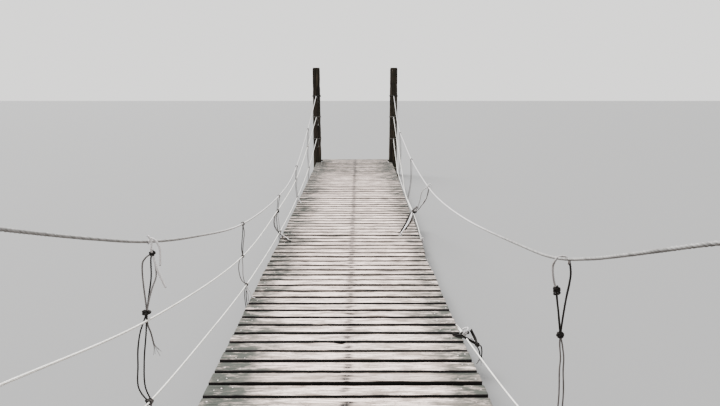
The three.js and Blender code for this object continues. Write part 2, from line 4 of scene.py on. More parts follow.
import bpy
import numpy as np
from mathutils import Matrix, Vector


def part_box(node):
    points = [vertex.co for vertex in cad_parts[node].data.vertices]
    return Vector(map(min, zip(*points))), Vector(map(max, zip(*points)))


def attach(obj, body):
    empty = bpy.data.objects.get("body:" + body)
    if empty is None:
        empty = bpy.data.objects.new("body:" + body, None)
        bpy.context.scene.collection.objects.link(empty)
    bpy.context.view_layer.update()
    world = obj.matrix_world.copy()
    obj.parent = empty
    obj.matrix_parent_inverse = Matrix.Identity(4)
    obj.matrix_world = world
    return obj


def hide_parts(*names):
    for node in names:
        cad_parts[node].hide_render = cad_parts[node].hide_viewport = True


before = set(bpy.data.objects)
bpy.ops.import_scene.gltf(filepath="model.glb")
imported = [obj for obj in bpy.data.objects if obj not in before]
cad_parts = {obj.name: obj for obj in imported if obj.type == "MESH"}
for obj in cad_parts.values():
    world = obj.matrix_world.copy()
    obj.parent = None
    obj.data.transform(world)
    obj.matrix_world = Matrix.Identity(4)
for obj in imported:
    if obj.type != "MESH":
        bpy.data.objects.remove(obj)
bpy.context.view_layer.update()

# Deck
DECK_START = -0.5615
BOARD_COUNT = 86
BOARD_PITCH = 0.1334
BOARD_WIDTH = 0.1207
BOARD_THICKNESS = 0.028
BOARD_EDGE = 0.0035
DECK_END = DECK_START + BOARD_COUNT * BOARD_PITCH
DECK_HALF_WIDTH = 0.72
BOARD_OVER_BEARER = 0.1023
STRINGER_PLACES = (-0.605, 0.0, 0.605)
STRINGER_WIDTH = 0.07
STRINGER_DEPTH = 0.075
LEVEL_HALF = 0.045
POST_CLEARANCE = 0.008

# Left and right edges of the deck at its start, at each bearer and at its end
DECK_EDGES = (
    (-0.712, 0.716), (-0.718, 0.722), (-0.736, 0.694), (-0.738, 0.700),
    (-0.750, 0.708), (-0.750, 0.722), (-0.750, 0.722), (-0.750, 0.718),
)
# Where the right edge comes in a little between two bearers: middle, half length and depth
EDGE_DIP = (4.05, 0.3, 0.022)

# Gaps between boards that have opened, by the board before them: each edge's retreat at the left and right
WIDE_GAPS = {
    16: (0.003, 0.009),
    18: (0.004, 0.006),
    47: (0.009, 0.008),
    51: (0.008, 0.008),
    58: (0.010, 0.010),
    60: (0.008, 0.010),
}
# Bites out of a board's far edge: board, place along it, half length and depth
BITES = (
    (20, -0.05, 0.034, 0.017),
    (9, 0.31, 0.020, 0.008),
    (33, -0.42, 0.025, 0.008),
    (44, 0.22, 0.030, 0.010),
)
# Dark streaks on boards: board, place along it, half length, place across it and half width
STREAKS = (
    (25, 0.52, 0.11, 0.020, 0.008),
    (24, 0.44, 0.06, -0.030, 0.006),
    (40, -0.20, 0.12, 0.010, 0.010),
    (31, 0.33, 0.09, 0.030, 0.008),
)

# Ropes
HAND_RADIUS = 0.0065
SIDE_RADIUS = 0.0045
STRAND_RADIUS = 0.0042
THICK_RADIUS = 0.0052
CABLE_RADIUS = 0.008
HAND_LAY = 0.06
SIDE_LAY = 0.034
STRAND_LAY = 0.03
CABLE_LAY = 0.11
HAND_STEP = 0.0085
SIDE_STEP = 0.0046
STRAND_STEP = 0.0052
CABLE_STEP = 0.013
CABLE_OFFSET = 0.35
NOTCH_DEPTH = 0.022
NOTCH_HALF = 0.024
ROPE_GAP = 0.0004
CURVE_STEPS = 24

# Camera
EYE = (0.061, -1.180, 1.7623)
EYE_PITCH = math.atan(0.2)
EYE_YAW = 0.003
LENS = 30.0
SENSOR = 36.0

posts = {}
for post_key in ("near_left", "near_right", "far_left", "far_right"):
    post_low, post_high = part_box(f"{post_key}_post")
    posts[post_key] = {
        "x": (post_low.x + post_high.x) / 2,
        "y": (post_low.y + post_high.y) / 2,
        "base": (post_high.x - post_low.x) / 2,
        "height": post_high.z,
        "river": 1 if post_key.startswith("near") else -1,
    }
bearers = [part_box(f"bearer_{number}") for number in range(1, 7)]
sills = [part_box(name) for name in ("near_sill", "far_sill")]
bearer_places = [(low.y + high.y) / 2 for low, high in bearers]
DECK_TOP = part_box("deck_bay_1")[1].z
POST_TOP_SHARE = 0.907

line_y = [DECK_START, sills[0][1].y]
line_z = [DECK_TOP, DECK_TOP]
for bearer_place, (low, high) in zip(bearer_places, bearers):
    line_y += [bearer_place - LEVEL_HALF, bearer_place + LEVEL_HALF]
    line_z += [high.z + BOARD_OVER_BEARER, high.z + BOARD_OVER_BEARER]
line_y += [sills[1][0].y, DECK_END]
line_z += [DECK_TOP, DECK_TOP]


def deck_top(y):
    """Height of the boards' top at a place along the deck."""
    return np.interp(y, line_y, line_z)


# Noise
HASH_STEPS = (374761393, 668265263, 1103515245, 1274126177)
HASH_MASK = 0xFFFFFF
rng = np.random.default_rng(20)
# Steps that keep the noise and the grain of one piece apart from the next one's
WAVE_STEPS = (7.3, 3.1)
NICK_STEPS = (3.7, 5.3)
DIRT_STEP = 2.9
BAND_STEP = 1.7
RELIEF_STEP = 5.7
BOARD_GRAIN = (0.37, 3.1)
TIMBER_GRAIN = (0.91, 2.3)
POST_GRAIN = 3.3
ROPE_GRAINS = 50
NAIL_GRAINS = 9


def noise(points, seed=0):
    """Smooth noise from -1 to 1 at points that are measured in cells."""
    points = np.asarray(points, float)
    cell = np.floor(points).astype(np.int64)
    part = points - cell
    part = part * part * (3 - 2 * part)
    total = np.zeros(points.shape[:-1])
    for corner in range(8):
        offset = np.array([corner & 1, corner >> 1 & 1, corner >> 2 & 1])
        place = cell + offset
        value = seed * HASH_STEPS[3] + sum(place[..., axis] * HASH_STEPS[axis] for axis in range(3))
        value = (value ^ (value >> 13)) * HASH_STEPS[3]
        value = ((value ^ (value >> 16)) & HASH_MASK) / HASH_MASK
        total += value * np.prod(np.where(offset == 1, part, 1 - part), axis=-1)
    return 2 * total - 1


def joined(*parts):
    """Points from their three parts, each one number or one for each point."""
    return np.stack(np.broadcast_arrays(*parts), axis=-1)


def smoothstep(low, high, value):
    """Zero below low, one above high, and a soft slope between them."""
    share = np.clip((np.asarray(value) - low) / (high - low), 0, 1)
    return share * share * (3 - 2 * share)


def ramp(most, low, high, value):
    """An amount that sets in softly from low to high."""
    return most * smoothstep(low, high, value)


def circle(sides):
    """Angles round a circle, and its points."""
    angles = np.arange(sides) * 2 * math.pi / sides
    return angles, joined(np.cos(angles), np.sin(angles))


def distances(points):
    """How far along a broken line each of its points lies."""
    return np.concatenate([[0.0], np.cumsum(np.linalg.norm(np.diff(points, axis=0), axis=1))])


# Meshes
class Shape:
    """Gathers swept surfaces into one mesh, with wear and grain values at each point; the wear values also
    carry painted shade and painted sunlight.
    """

    def __init__(self):
        self.points = []
        self.quads = []
        self.fans = []
        self.quad_finish = []
        self.fan_finish = []
        self.wear = []
        self.grain = []
        self.total = 0

    def sweep(
        self, centres, across, up, sections, tone=0.0, dirt=0.0, stain=0.0, grain=None, start=0.0, finish=0
    ):
        """Skins a row of closed sections, given across and up from their centres, and caps its ends."""
        rows, sides = sections.shape[:2]
        across = np.broadcast_to(across, centres.shape)
        up = np.broadcast_to(up, centres.shape)
        points = centres[:, None] + sections[..., :1] * across[:, None] + sections[..., 1:] * up[:, None]
        ring = np.arange(rows * sides).reshape(rows, sides) + self.total
        turned = np.roll(ring, -1, axis=1)
        quads = np.stack([ring[:-1], turned[:-1], turned[1:], ring[1:]], axis=-1).reshape(-1, 4)
        first = self.total + rows * sides
        low_cap = joined(first, turned[0], ring[0])
        high_cap = joined(first + 1, ring[-1], turned[-1])
        # Tone, dirt and stain, as wear values: besides real tone, dirt and stains they carry painted shade
        # (rope undersides and grooves, the fallen rope under the boards, board sides, rims and undersides,
        # bark furrows) and painted sunlight on the hand ropes
        wear = np.zeros((rows, sides, 3))
        wear[..., 0] = tone
        wear[..., 1] = dirt
        wear[..., 2] = stain
        along = start + distances(centres)
        local = sections if grain is None else np.broadcast_to(grain, sections.shape)
        fibres = np.concatenate([np.broadcast_to(along[:, None, None], (rows, sides, 1)), local], axis=-1)
        for store, values in ((self.points, points), (self.wear, wear), (self.grain, fibres)):
            store.append(values.reshape(-1, 3))
            store.append(np.stack([values[0].mean(axis=0), values[-1].mean(axis=0)]))
        self.quads.append(quads)
        self.fans.append(np.concatenate([low_cap, high_cap]))
        self.quad_finish.append(np.full(len(quads), finish))
        self.fan_finish.append(np.full(2 * sides, finish))
        self.total = first + 2

    def build(self, name, materials, slot, *nodes):
        """Makes the mesh's object under the root body, and hides the frame's nodes that it stands for."""
        points = np.concatenate(self.points)
        quads = np.concatenate(self.quads)
        fans = np.concatenate(self.fans)
        corners = np.concatenate([quads.ravel(), fans.ravel()])
        starts = np.concatenate([np.arange(len(quads)) * 4, len(quads) * 4 + np.arange(len(fans)) * 3])
        mesh = bpy.data.meshes.new(name)
        mesh.vertices.add(len(points))
        mesh.vertices.foreach_set("co", points.ravel())
        mesh.loops.add(len(corners))
        mesh.loops.foreach_set("vertex_index", corners)
        mesh.polygons.add(len(starts))
        mesh.polygons.foreach_set("loop_start", starts)
        mesh.polygons.foreach_set("material_index", np.concatenate(self.quad_finish + self.fan_finish))
        mesh.polygons.foreach_set("use_smooth", np.arange(len(starts)) < len(quads))
        mesh.update(calc_edges=True)
        # The wear attribute carries the painted shade and painted sunlight along with the real wear
        for label, values in (("wear", self.wear), ("grain", self.grain)):
            layer = mesh.attributes.new(label, "FLOAT_VECTOR", "POINT")
            layer.data.foreach_set("vector", np.concatenate(values).ravel())
        for material in materials:
            mesh.materials.append(material)
        piece = bpy.data.objects.new(name, mesh)
        bpy.context.scene.collection.objects.link(piece)
        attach(piece, "root")
        if nodes:
            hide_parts(*nodes)


def even_steps(points, step):
    """Points along a broken line, in even steps of about the given length."""
    points = np.asarray(points, float)
    lengths = distances(points)
    count = max(int(round(lengths[-1] / step)), 2)
    places = np.linspace(0, lengths[-1], count + 1)
    return np.stack([np.interp(places, lengths, points[:, axis]) for axis in range(3)], axis=1)


def curve(points, step):
    """A centripetal curve through the points, in even steps."""
    points = np.asarray(points, float)
    padded = np.vstack([2 * points[0] - points[1], points, 2 * points[-1] - points[-2]])
    share = np.linspace(0, 1, CURVE_STEPS, endpoint=False)[:, None]
    pieces = []
    for before, start, end, after in zip(padded, padded[1:], padded[2:], padded[3:]):
        gap_in = math.sqrt(np.linalg.norm(start - before))
        gap = math.sqrt(np.linalg.norm(end - start))
        gap_out = math.sqrt(np.linalg.norm(after - end))
        leave = ((start - before) / gap_in - (end - before) / (gap_in + gap) + (end - start) / gap) * gap
        arrive = ((end - start) / gap - (after - start) / (gap + gap_out) + (after - end) / gap_out) * gap
        square = 3 * (end - start) - 2 * leave - arrive
        cube = 2 * (start - end) + leave + arrive
        pieces.append(start + share * leave + share**2 * square + share**3 * cube)
    pieces.append(points[-1:])
    return even_steps(np.vstack(pieces), step)


def sides_along(centres):
    """Two directions across a line at each of its points, turned as little as possible on the way."""
    forward = np.gradient(centres, axis=0)
    forward /= np.linalg.norm(forward, axis=1, keepdims=True)
    side = np.cross(np.eye(3)[np.argmin(np.abs(forward[0]))], forward[0])
    across = []
    for direction in forward:
        side = side - direction * side.dot(direction)
        side = side / np.linalg.norm(side)
        across.append(side)
    across = np.array(across)
    return across, np.cross(forward, across)


# Laid ropes
GROOVE_FLOOR = 0.78
SLACK_SHARE = 0.03
# Painted shade on a rope's underside: its strength, and the heights where it starts and is full
UNDERSIDE_SHADE = (0.45, 0.1, -0.8)
YARN_RADIUS = 0.0011
YARN_LENGTH = 0.045
YARN_SHARE = (0.4, 1.0)
YARN_STEPS = 8
YARN_COUNT = 7
YARN_THREADS = 2
YARN_LAY = 0.02
YARN_PALER = 0.3
# How far a loose yarn's middle and tip reach along and aside, as shares of its length, and how it droops
YARN_MIDDLE = (0.55, 0.2)
YARN_TIP = (0.9, 0.55)
YARN_DROOP = 0.2
TURN_POINTS = 20
TURN_PITCH = 1.9
WANDER_CELLS = 0.4
KNOT_POINTS = 60
KNOT_OPENING = 0.1
KNOT_DEPTH = 0.42
LUMP_LEAN = 0.75
LUMP_TURNS = 1.1
CORNER_POINTS = 5


def lay_rope(shape, centres, radius, lay, strands=3, detail=3, tone=0.0, dirt=0.0):
    """Sweeps a rope of twisted strands along evenly stepped points."""
    angles, ring = circle(strands * detail)
    sector = 2 * math.pi / strands
    off_middle = (angles + sector / 2) % sector - sector / 2
    strand = math.sin(sector / 2) / (1 + math.sin(sector / 2))
    inside = np.sqrt(np.maximum(strand**2 - ((1 - strand) * np.sin(off_middle)) ** 2, 0))
    reach = np.maximum((1 - strand) * np.cos(off_middle) + inside, GROOVE_FLOOR)
    across, up = sides_along(centres)
    along = distances(centres)
    turned = angles[None] + (2 * math.pi * along / lay)[:, None] + rng.uniform(0, 2 * math.pi)
    wobble = 1 - SLACK_SHARE * (1 + noise(joined(along / lay, 0, 0), 3))
    size = radius * reach[None] * wobble[:, None]
    sections = joined(size * np.cos(turned), size * np.sin(turned))
    still = radius * reach[:, None] * ring
    # Depth of the grooves between the strands, passed on as the stain value, which the rope and steel
    # materials turn into painted shade
    grooves = (1 - reach) / (1 - GROOVE_FLOOR)
    # Painted shade: the rope's underside is darkened, on top of the dirt that it is given
    height = (sections[..., 0] * across[:, None, 2] + sections[..., 1] * up[:, None, 2]) / radius
    soil_and_shade = dirt + ramp(*UNDERSIDE_SHADE, height)
    start = rng.uniform(0, ROPE_GRAINS)
    shape.sweep(centres, across, up, sections, tone, soil_and_shade, grooves[None], still[None], start)


def lay_turns(shape, route, radius, tone=0.0):
    """Hanger rope of any thickness along a route of turns."""
    step = STRAND_STEP * radius / STRAND_RADIUS
    lay_rope(shape, even_steps(route, step), radius, STRAND_LAY * radius / STRAND_RADIUS, tone=tone)


def fray(shape, end, direction, radius, tone=0.0):
    """Loose yarns that spread from a rope's cut end."""
    direction = np.asarray(direction, float) / np.linalg.norm(direction)
    for yarn in range(YARN_COUNT):
        spread = rng.normal(0, 1, 3)
        spread -= direction * spread.dot(direction)
        spread /= np.linalg.norm(spread)
        root = end - direction * radius + spread * radius / 2
        length = YARN_LENGTH * rng.uniform(*YARN_SHARE)
        route = [root]
        for ahead, aside in (YARN_MIDDLE, YARN_TIP):
            route.append(root + direction * length * ahead + spread * length * aside)
        route[-1][2] -= length * YARN_DROOP
        centres = curve(route, YARN_LENGTH / YARN_STEPS)
        lay_rope(shape, centres, YARN_RADIUS, YARN_LAY, YARN_THREADS, tone=tone + YARN_PALER)


def helix(centre, direction, radius, pitch, turns, start, loose):
    """Points of a coil round a direction, from a starting angle."""
    direction = np.asarray(direction, float) / np.linalg.norm(direction)
    side = np.cross(direction, np.eye(3)[np.argmin(np.abs(direction))])
    side /= np.linalg.norm(side)
    other = np.cross(direction, side)
    angles = np.linspace(0, 2 * math.pi * turns, int(TURN_POINTS * turns) + 1)
    wander = noise(joined(angles * WANDER_CELLS, start, 0), 5)
    reach = radius * (1 + loose * (1 + wander))
    swing = start + angles
    ring = reach[:, None] * (np.cos(swing)[:, None] * side + np.sin(swing)[:, None] * other)
    rise = (pitch * (angles / (2 * math.pi) - turns / 2))[:, None] * direction
    return np.asarray(centre, float) + ring + rise


def coil(shape, centre, direction, held, turns, start=0.0, tone=0.0, radius=STRAND_RADIUS, loose=0.02):
    """Turns of rope laid side by side round a rope or a post, held by its radius."""
    reach = held + ROPE_GAP + radius
    route = helix(centre, direction, reach, TURN_PITCH * radius, turns, start, loose)
    lay_turns(shape, route, radius, tone)


def knot(shape, centre, size, tilt=0.0, turn=0.0, tone=0.0, radius=STRAND_RADIUS):
    """An overhand knot, as a rope that passes round and through itself."""
    angles = np.linspace(KNOT_OPENING, 2 * math.pi - KNOT_OPENING, KNOT_POINTS)
    x = (np.sin(angles) + 2 * np.sin(2 * angles)) / 3
    y = (np.cos(angles) - 2 * np.cos(2 * angles)) / 3
    z = -KNOT_DEPTH * np.sin(3 * angles)
    y, z = y * math.cos(tilt) - z * math.sin(tilt), y * math.sin(tilt) + z * math.cos(tilt)
    x, y = x * math.cos(turn) - y * math.sin(turn), x * math.sin(turn) + y * math.cos(turn)
    lay_turns(shape, np.asarray(centre, float) + (size - radius) * joined(x, y, z), radius, tone)


def lump(shape, centre, size, turn=0.0, tone=0.0, radius=THICK_RADIUS):
    """A tight old knot: turns of rope that cross over one another in a ball."""
    for step in range(3):
        swing = turn + step * 2 * math.pi / 3
        axis = (math.cos(swing), math.sin(swing), LUMP_LEAN)
        coil(shape, centre, axis, size - 2 * radius - ROPE_GAP, LUMP_TURNS, swing, tone, radius, 0.0)


def timber_turns(centre, half_width, half_depth, radius, turns, corner=0.016):
    """Points of a coil round a squared timber that lies along X."""
    wide = half_width + ROPE_GAP + radius
    deep = half_depth + ROPE_GAP + radius
    corners = []
    for sign_y, sign_z, turn in ((1, -1, -0.5), (1, 1, 0.0), (-1, 1, 0.5), (-1, -1, 1.0)):
        for step in range(CORNER_POINTS):
            angle = (turn + step / (2 * (CORNER_POINTS - 1))) * math.pi
            y = sign_y * (wide - corner) + corner * math.cos(angle)
            z = sign_z * (deep - corner) + corner * math.sin(angle)
            corners.append((y, z))
    count = len(corners)
    points = []
    for step in range(int(count * turns) + 1):
        y, z = corners[step % count]
        x = 2 * radius * (step / count - turns / 2)
        points.append((centre[0] + x, centre[1] + y, centre[2] + z))
    return np.array(points)


# Materials
# Pale rope colour for a high tone: bleached white strands, and painted sunlight on the hand ropes
WHITENED_AND_SUNLIT = (0.85, 0.82, 0.82, 1)
# Dark colour for rusty nails, and painted shade in the cable's grooves
DARK_RUST_AND_SHADE = (0.02, 0.015, 0.012, 1)
# How early dirt and stains, with the painted shade they carry, darken the wood
SOIL_AND_SHADE_POWER = 2.2
STAIN_AND_SHADE_POWER = 1.7
SPLIT_RANGE = (0.655, 0.70)
SPLIT_SHARE = 0.85
WOOD_HEIGHTS = (0.35, 0.8, -1.2)
SOIL_AND_SHADE_PATCHES = (0.36, 0.62, 0.35, 1.4)
STAIN_AND_SHADE_SPECKLE = (0.3, 0.62, 0.95, 1.3)
WOOD_SHINE = (0.9, 0.0, 0.2)
ROPE_SHINE = (0.92, 0.0, 0.15)
IRON_ROUGHNESS = 0.55
IRON_SPECULAR = 0.3
# How strongly the stain value darkens steel: rust on nails, painted shade in the cable's grooves
RUST_AND_SHADE_SHARE = 0.9
RUST_SOFTNESS = 0.2
DARKEST_ROPE = 0.96
ROPE_RELIEF = 0.0006
PIT_RELIEF = 0.0004
# Noises: cells a metre along the grain and across it, detail and roughness
WOOD_CLOUDS = (5.0, 26.0, 5.0, 0.62)
WOOD_STREAKS = (5.5, 120.0, 5.0, 0.62)
WOOD_FIBRES = (24.0, 560.0, 3.0, 0.6)
WOOD_SPLITS = (3.6, 190.0, 2.0, 0.5)
WOOD_PATCHES = (11.0, 30.0, 5.0, 0.65)
WOOD_SPECKLE = (60.0, 150.0, 4.0, 0.7)
ROPE_YARNS = (140.0, 900.0, 3.0, 0.6)
ROPE_FUZZ = (60.0, 300.0, 3.0, 0.65)
RUST_PATCHES = (14.0, 60.0, 4.0, 0.65)
RUST_PITS = (400.0, 400.0, 3.0, 0.6)


def node(tree, kind, inputs=None, **settings):
    """Adds a shader node and sets or links its inputs."""
    made = tree.nodes.new("ShaderNode" + kind)
    for name, value in settings.items():
        setattr(made, name, value)
    for name, value in (inputs or {}).items():
        socket = made.inputs[name]
        if isinstance(value, bpy.types.NodeSocket):
            tree.links.new(value, socket)
        else:
            socket.default_value = value
    return made


def new_material(name, roughness, metallic, specular):
    """A material with its shader, and the wear and grain values that the meshes carry."""
    material = bpy.data.materials.new(name)
    material.use_nodes = True
    tree = material.node_tree
    shader = tree.nodes["Principled BSDF"]
    shader.inputs["Roughness"].default_value = roughness
    shader.inputs["Metallic"].default_value = metallic
    shader.inputs["Specular IOR Level"].default_value = specular
    carried = node(tree, "Attribute", attribute_name="wear").outputs["Vector"]
    wear = node(tree, "SeparateXYZ", {"Vector": carried})
    grain = node(tree, "Attribute", attribute_name="grain").outputs["Vector"]
    return material, tree, shader, wear.outputs, grain


def grained(tree, grain, kind, narrower=1.0):
    """Noise of a kind from the list above, drawn out along the grain."""
    along, across, detail, rough = kind
    stretch = (along, across * narrower, across * narrower)
    scaled = node(tree, "VectorMath", {0: grain, 1: stretch}, operation="MULTIPLY").outputs[0]
    inputs = {"Vector": scaled, "Scale": 1.0, "Detail": detail, "Roughness": rough}
    return node(tree, "TexNoise", inputs).outputs["Fac"]


def ranged(tree, value, low, high, new_low=0.0, new_high=1.0):
    """A value mapped smoothly from one range to another."""
    inputs = {"Value": value, "From Min": low, "From Max": high, "To Min": new_low, "To Max": new_high}
    return node(tree, "MapRange", inputs, interpolation_type="SMOOTHSTEP").outputs["Result"]


def mixed(tree, share, first, second):
    """One colour laid over another."""
    return node(tree, "MixRGB", {"Fac": share, "Color1": first, "Color2": second}).outputs["Color"]


def layered(tree, colour, *layers):
    """Lays colours over a first one, each given by a value, where it sets in, its most and the colour."""
    for value, low, high, most, laid in layers:
        colour = mixed(tree, ranged(tree, value, low, high, 0.0, most), colour, laid)
    return colour


def reckoned(tree, operation, first, second, **settings):
    """Two values added, multiplied, subtracted or raised."""
    return node(tree, "Math", {0: first, 1: second}, operation=operation, **settings).outputs[0]


def times(tree, first, second):
    return reckoned(tree, "MULTIPLY", first, second)


def plus(tree, first, second):
    return reckoned(tree, "ADD", first, second)


def steepened(tree, value, power):
    """A share that rises early, so that wood with half its dirt, stain or painted shade already looks dark.
    """
    clean = reckoned(tree, "SUBTRACT", 1.0, value, use_clamp=True)
    return reckoned(tree, "SUBTRACT", 1.0, reckoned(tree, "POWER", clean, power))


def finished(tree, shader, colour, height, distance):
    """Gives the shader its colour and a bump of a given depth."""
    tree.links.new(colour, shader.inputs["Base Color"])
    inputs = {"Height": height, "Distance": distance, "Strength": 1.0}
    tree.links.new(node(tree, "Bump", inputs).outputs["Normal"], shader.inputs["Normal"])


def wood(name, pale, middle, dark, soil_and_shade, stain_and_shade, streak=1.0, relief=0.0016):
    """Weathered wood: cloudy patches, long streaks, fine fibres, hairline splits, dirt and dark stains, and
    painted shade that comes in with the dirt and stain values.
    """
    material, tree, shader, wear, grain = new_material(name, *WOOD_SHINE)
    clouds = grained(tree, grain, WOOD_CLOUDS, streak)
    streaks = grained(tree, grain, WOOD_STREAKS, streak)
    fibres = grained(tree, grain, WOOD_FIBRES)
    splits = grained(tree, grain, WOOD_SPLITS, streak)
    patches = grained(tree, grain, WOOD_PATCHES)
    speckle = grained(tree, grain, WOOD_SPECKLE)
    split = ranged(tree, splits, *SPLIT_RANGE)
    colour = layered(
        tree,
        pale,
        (clouds, 0.45, 0.64, 0.9, middle),
        (streaks, 0.45, 0.62, 0.85, middle),
        (fibres, 0.48, 0.70, 0.7, dark),
        (speckle, 0.54, 0.66, 0.8, dark),
        (wear["X"], 0.0, 1.6, 0.5, middle),
    )
    # The dirt and stain values also carry painted shade: on the boards' sides, rims and undersides, and in
    # the posts' bark furrows
    soil_and_shade_share = times(tree, wear["Y"], ranged(tree, patches, *SOIL_AND_SHADE_PATCHES))
    colour = mixed(tree, steepened(tree, soil_and_shade_share, SOIL_AND_SHADE_POWER), colour, soil_and_shade)
    spot = times(tree, wear["Z"], ranged(tree, speckle, *STAIN_AND_SHADE_SPECKLE))
    colour = mixed(tree, steepened(tree, spot, STAIN_AND_SHADE_POWER), colour, stain_and_shade)
    colour = mixed(tree, times(tree, split, SPLIT_SHARE), colour, stain_and_shade)
    fine, broad, deep = (times(tree, *row) for row in zip((fibres, streaks, split), WOOD_HEIGHTS))
    finished(tree, shader, colour, plus(tree, plus(tree, fine, broad), deep), relief)
    return material


def rope(name, pale, dark, groove, dirt_size=9.0, groove_shade=0.35):
    """Laid rope: yarns on each strand, painted shade in its grooves, dirty stretches, and paler or darker
    by its tone; its dirt value also carries painted shade and its tone painted sunlight.
    """
    material, tree, shader, wear, grain = new_material(name, *ROPE_SHINE)
    stretches = grained(tree, grain, (dirt_size, 60.0, 4.0, 0.6))
    fuzz = grained(tree, grain, ROPE_FUZZ)
    # A high tone whitens the rope; on the hand ropes that is painted sunlight
    colour = layered(
        tree,
        pale,
        (stretches, 0.42, 0.72, 1.0, dark),
        (fuzz, 0.5, 0.75, 0.5, dark),
        (wear["X"], 0.0, 1.0, 1.0, WHITENED_AND_SUNLIT),
        (times(tree, wear["X"], -1.0), 0.0, 1.0, DARKEST_ROPE, groove),
    )
    # Dirt value: real dirt together with painted shade on the rope's underside and on the fallen rope under
    # the boards
    colour = mixed(tree, wear["Y"], colour, groove)
    # Painted shade in the grooves between the strands
    colour = mixed(tree, times(tree, wear["Z"], groove_shade), colour, groove)
    finished(tree, shader, colour, plus(tree, grained(tree, grain, ROPE_YARNS), fuzz), ROPE_RELIEF)
    return material


def iron(name, bright, rust, metallic, rust_from=0.45):
    """Dull steel with rust in patches, darker by its stain value: rust on the nails, painted shade in the
    cable's grooves.
    """
    material, tree, shader, wear, grain = new_material(name, IRON_ROUGHNESS, metallic, IRON_SPECULAR)
    patches = grained(tree, grain, RUST_PATCHES)
    pits = grained(tree, grain, RUST_PITS)
    colour = layered(
        tree,
        bright,
        (patches, rust_from, rust_from + RUST_SOFTNESS, 1.0, rust),
        (pits, 0.55, 0.75, 0.6, rust),
    )
    # Painted shade in the cable's grooves, and rust on the rusty nails
    colour = mixed(tree, times(tree, wear["Z"], RUST_AND_SHADE_SHARE), colour, DARK_RUST_AND_SHADE)
    finished(tree, shader, colour, pits, PIT_RELIEF)
    return material


deck_wood = wood(
    "deck_wood",
    pale=(1.0, 0.83, 0.755, 1),
    middle=(0.25, 0.198, 0.168, 1),
    dark=(0.075, 0.06, 0.05, 1),
    soil_and_shade=(0.046, 0.050, 0.042, 1),
    stain_and_shade=(0.006, 0.005, 0.0045, 1),
)
bearer_wood = wood(
    "bearer_wood",
    pale=(0.075, 0.06, 0.046, 1),
    middle=(0.032, 0.026, 0.020, 1),
    dark=(0.014, 0.011, 0.009, 1),
    soil_and_shade=(0.018, 0.021, 0.013, 1),
    stain_and_shade=(0.006, 0.005, 0.004, 1),
)
post_wood = wood(
    "post_wood",
    pale=(0.055, 0.038, 0.027, 1),
    middle=(0.022, 0.016, 0.012, 1),
    dark=(0.009, 0.0065, 0.005, 1),
    soil_and_shade=(0.016, 0.019, 0.011, 1),
    stain_and_shade=(0.004, 0.003, 0.0025, 1),
    streak=0.45,
    relief=0.004,
)
hand_rope = rope("hand_rope", (0.36, 0.352, 0.345, 1), (0.17, 0.165, 0.16, 1), (0.02, 0.02, 0.018, 1))
side_rope = rope(
    "side_rope", (0.92, 0.90, 0.86, 1), (0.60, 0.58, 0.52, 1), (0.06, 0.055, 0.05, 1), 5.0, 0.2
)
hanger_rope = rope(
    "hanger_rope", (0.17, 0.155, 0.15, 1), (0.07, 0.06, 0.052, 1), (0.008, 0.007, 0.006, 1), 14.0
)
deck_cable = iron("deck_cable", (0.30, 0.29, 0.28, 1), (0.10, 0.045, 0.022, 1), 0.7)
nail_iron = iron("nail_iron", (0.62, 0.56, 0.55, 1), (0.22, 0.09, 0.06, 1), 0.2, rust_from=0.5)


# Boards
TOP_POINTS = 13
BOTTOM_POINTS = 4
EDGE_ROUNDING = 0.3
NAIL_ZONE = 0.04
ZONE_STATIONS = 8
PLANK_STATIONS = 28
STATIONS_START = 0.012
STATIONS_CLEAR = 0.008
END_STATIONS = np.array([0.0, 0.0012, 0.004])
RAGGED_LEFT = 0.006
RAGGED_RIGHT = 0.004
# How a board lies: cup, turn, twist, height and bow, each as a middle and a spread or as limits
CUP = (0.0006, 0.0012)
TURN = (0, 0.0012)
TWIST = (0, 0.006)
LIFT = (-0.0022, 0.0004)
BOW = (0, 0.0012)
BOW_LEVEL = 0.4
HALF_BOARD = 0.06
TONE_SPREAD = 0.75
TONE_LIMIT = 1.5
# The surface of a board: cells of its relief along and across it, two depths, and how its ends are rounded
RELIEF_CELLS = (4, 70)
RELIEF = 0.0007
FINE_RELIEF = 0.0005
FINE_CELLS = (4, 2.2, 1)
END_INSET = 0.0024
END_INSET_REACH = 0.005
END_THINNING = 50
# Wear of its edges: for all, from about the twentieth board on, in waves, in fine nicks and in chips
EDGE_LOSS = 0.0008
LATER_LOSS = (0.0018, 18, 24)
WAVE_LOSS = 0.0012
WAVE_CELLS = 9
NICK_LOSS = 0.0007
NICK_CELLS = 55
CHIP_LOSS = (0.006, 0.55, 0.95)
CHIP_CELLS = (2.4, 1, 1)
BITE_FLOOR = 0.45
EDGE_SHARE = (0.55, 0.97)
# The rim along its edges, which gets painted shade, and how much wider it is further out: share, from and
# to
RIM = 0.0045
MIDDLE_RIM = (0.9, 2.6, 4.6)
FAR_RIM = (0.8, 5.0, 7.5)
# Painted shade on the rims, and on a patchy band along the edges of boards further out: its strength, where
# the band sets in, its patches, cells and share of the rim
RIM_SHADE = (0.85, 1.0)
BAND_FROM = (1.2, 2.6)
BAND_PATCHES = (-0.75, 0.0)
BAND_CELLS = 6
BAND_SHARE = 1.1
# Painted shade on the side walls: how deep it takes to set in fully, how weak it is at a board's ends, and
# how far from an end it is full
WALL_DEPTH = 0.0014
END_WALL_SHADE = 0.3
END_WALL_REACH = 0.03
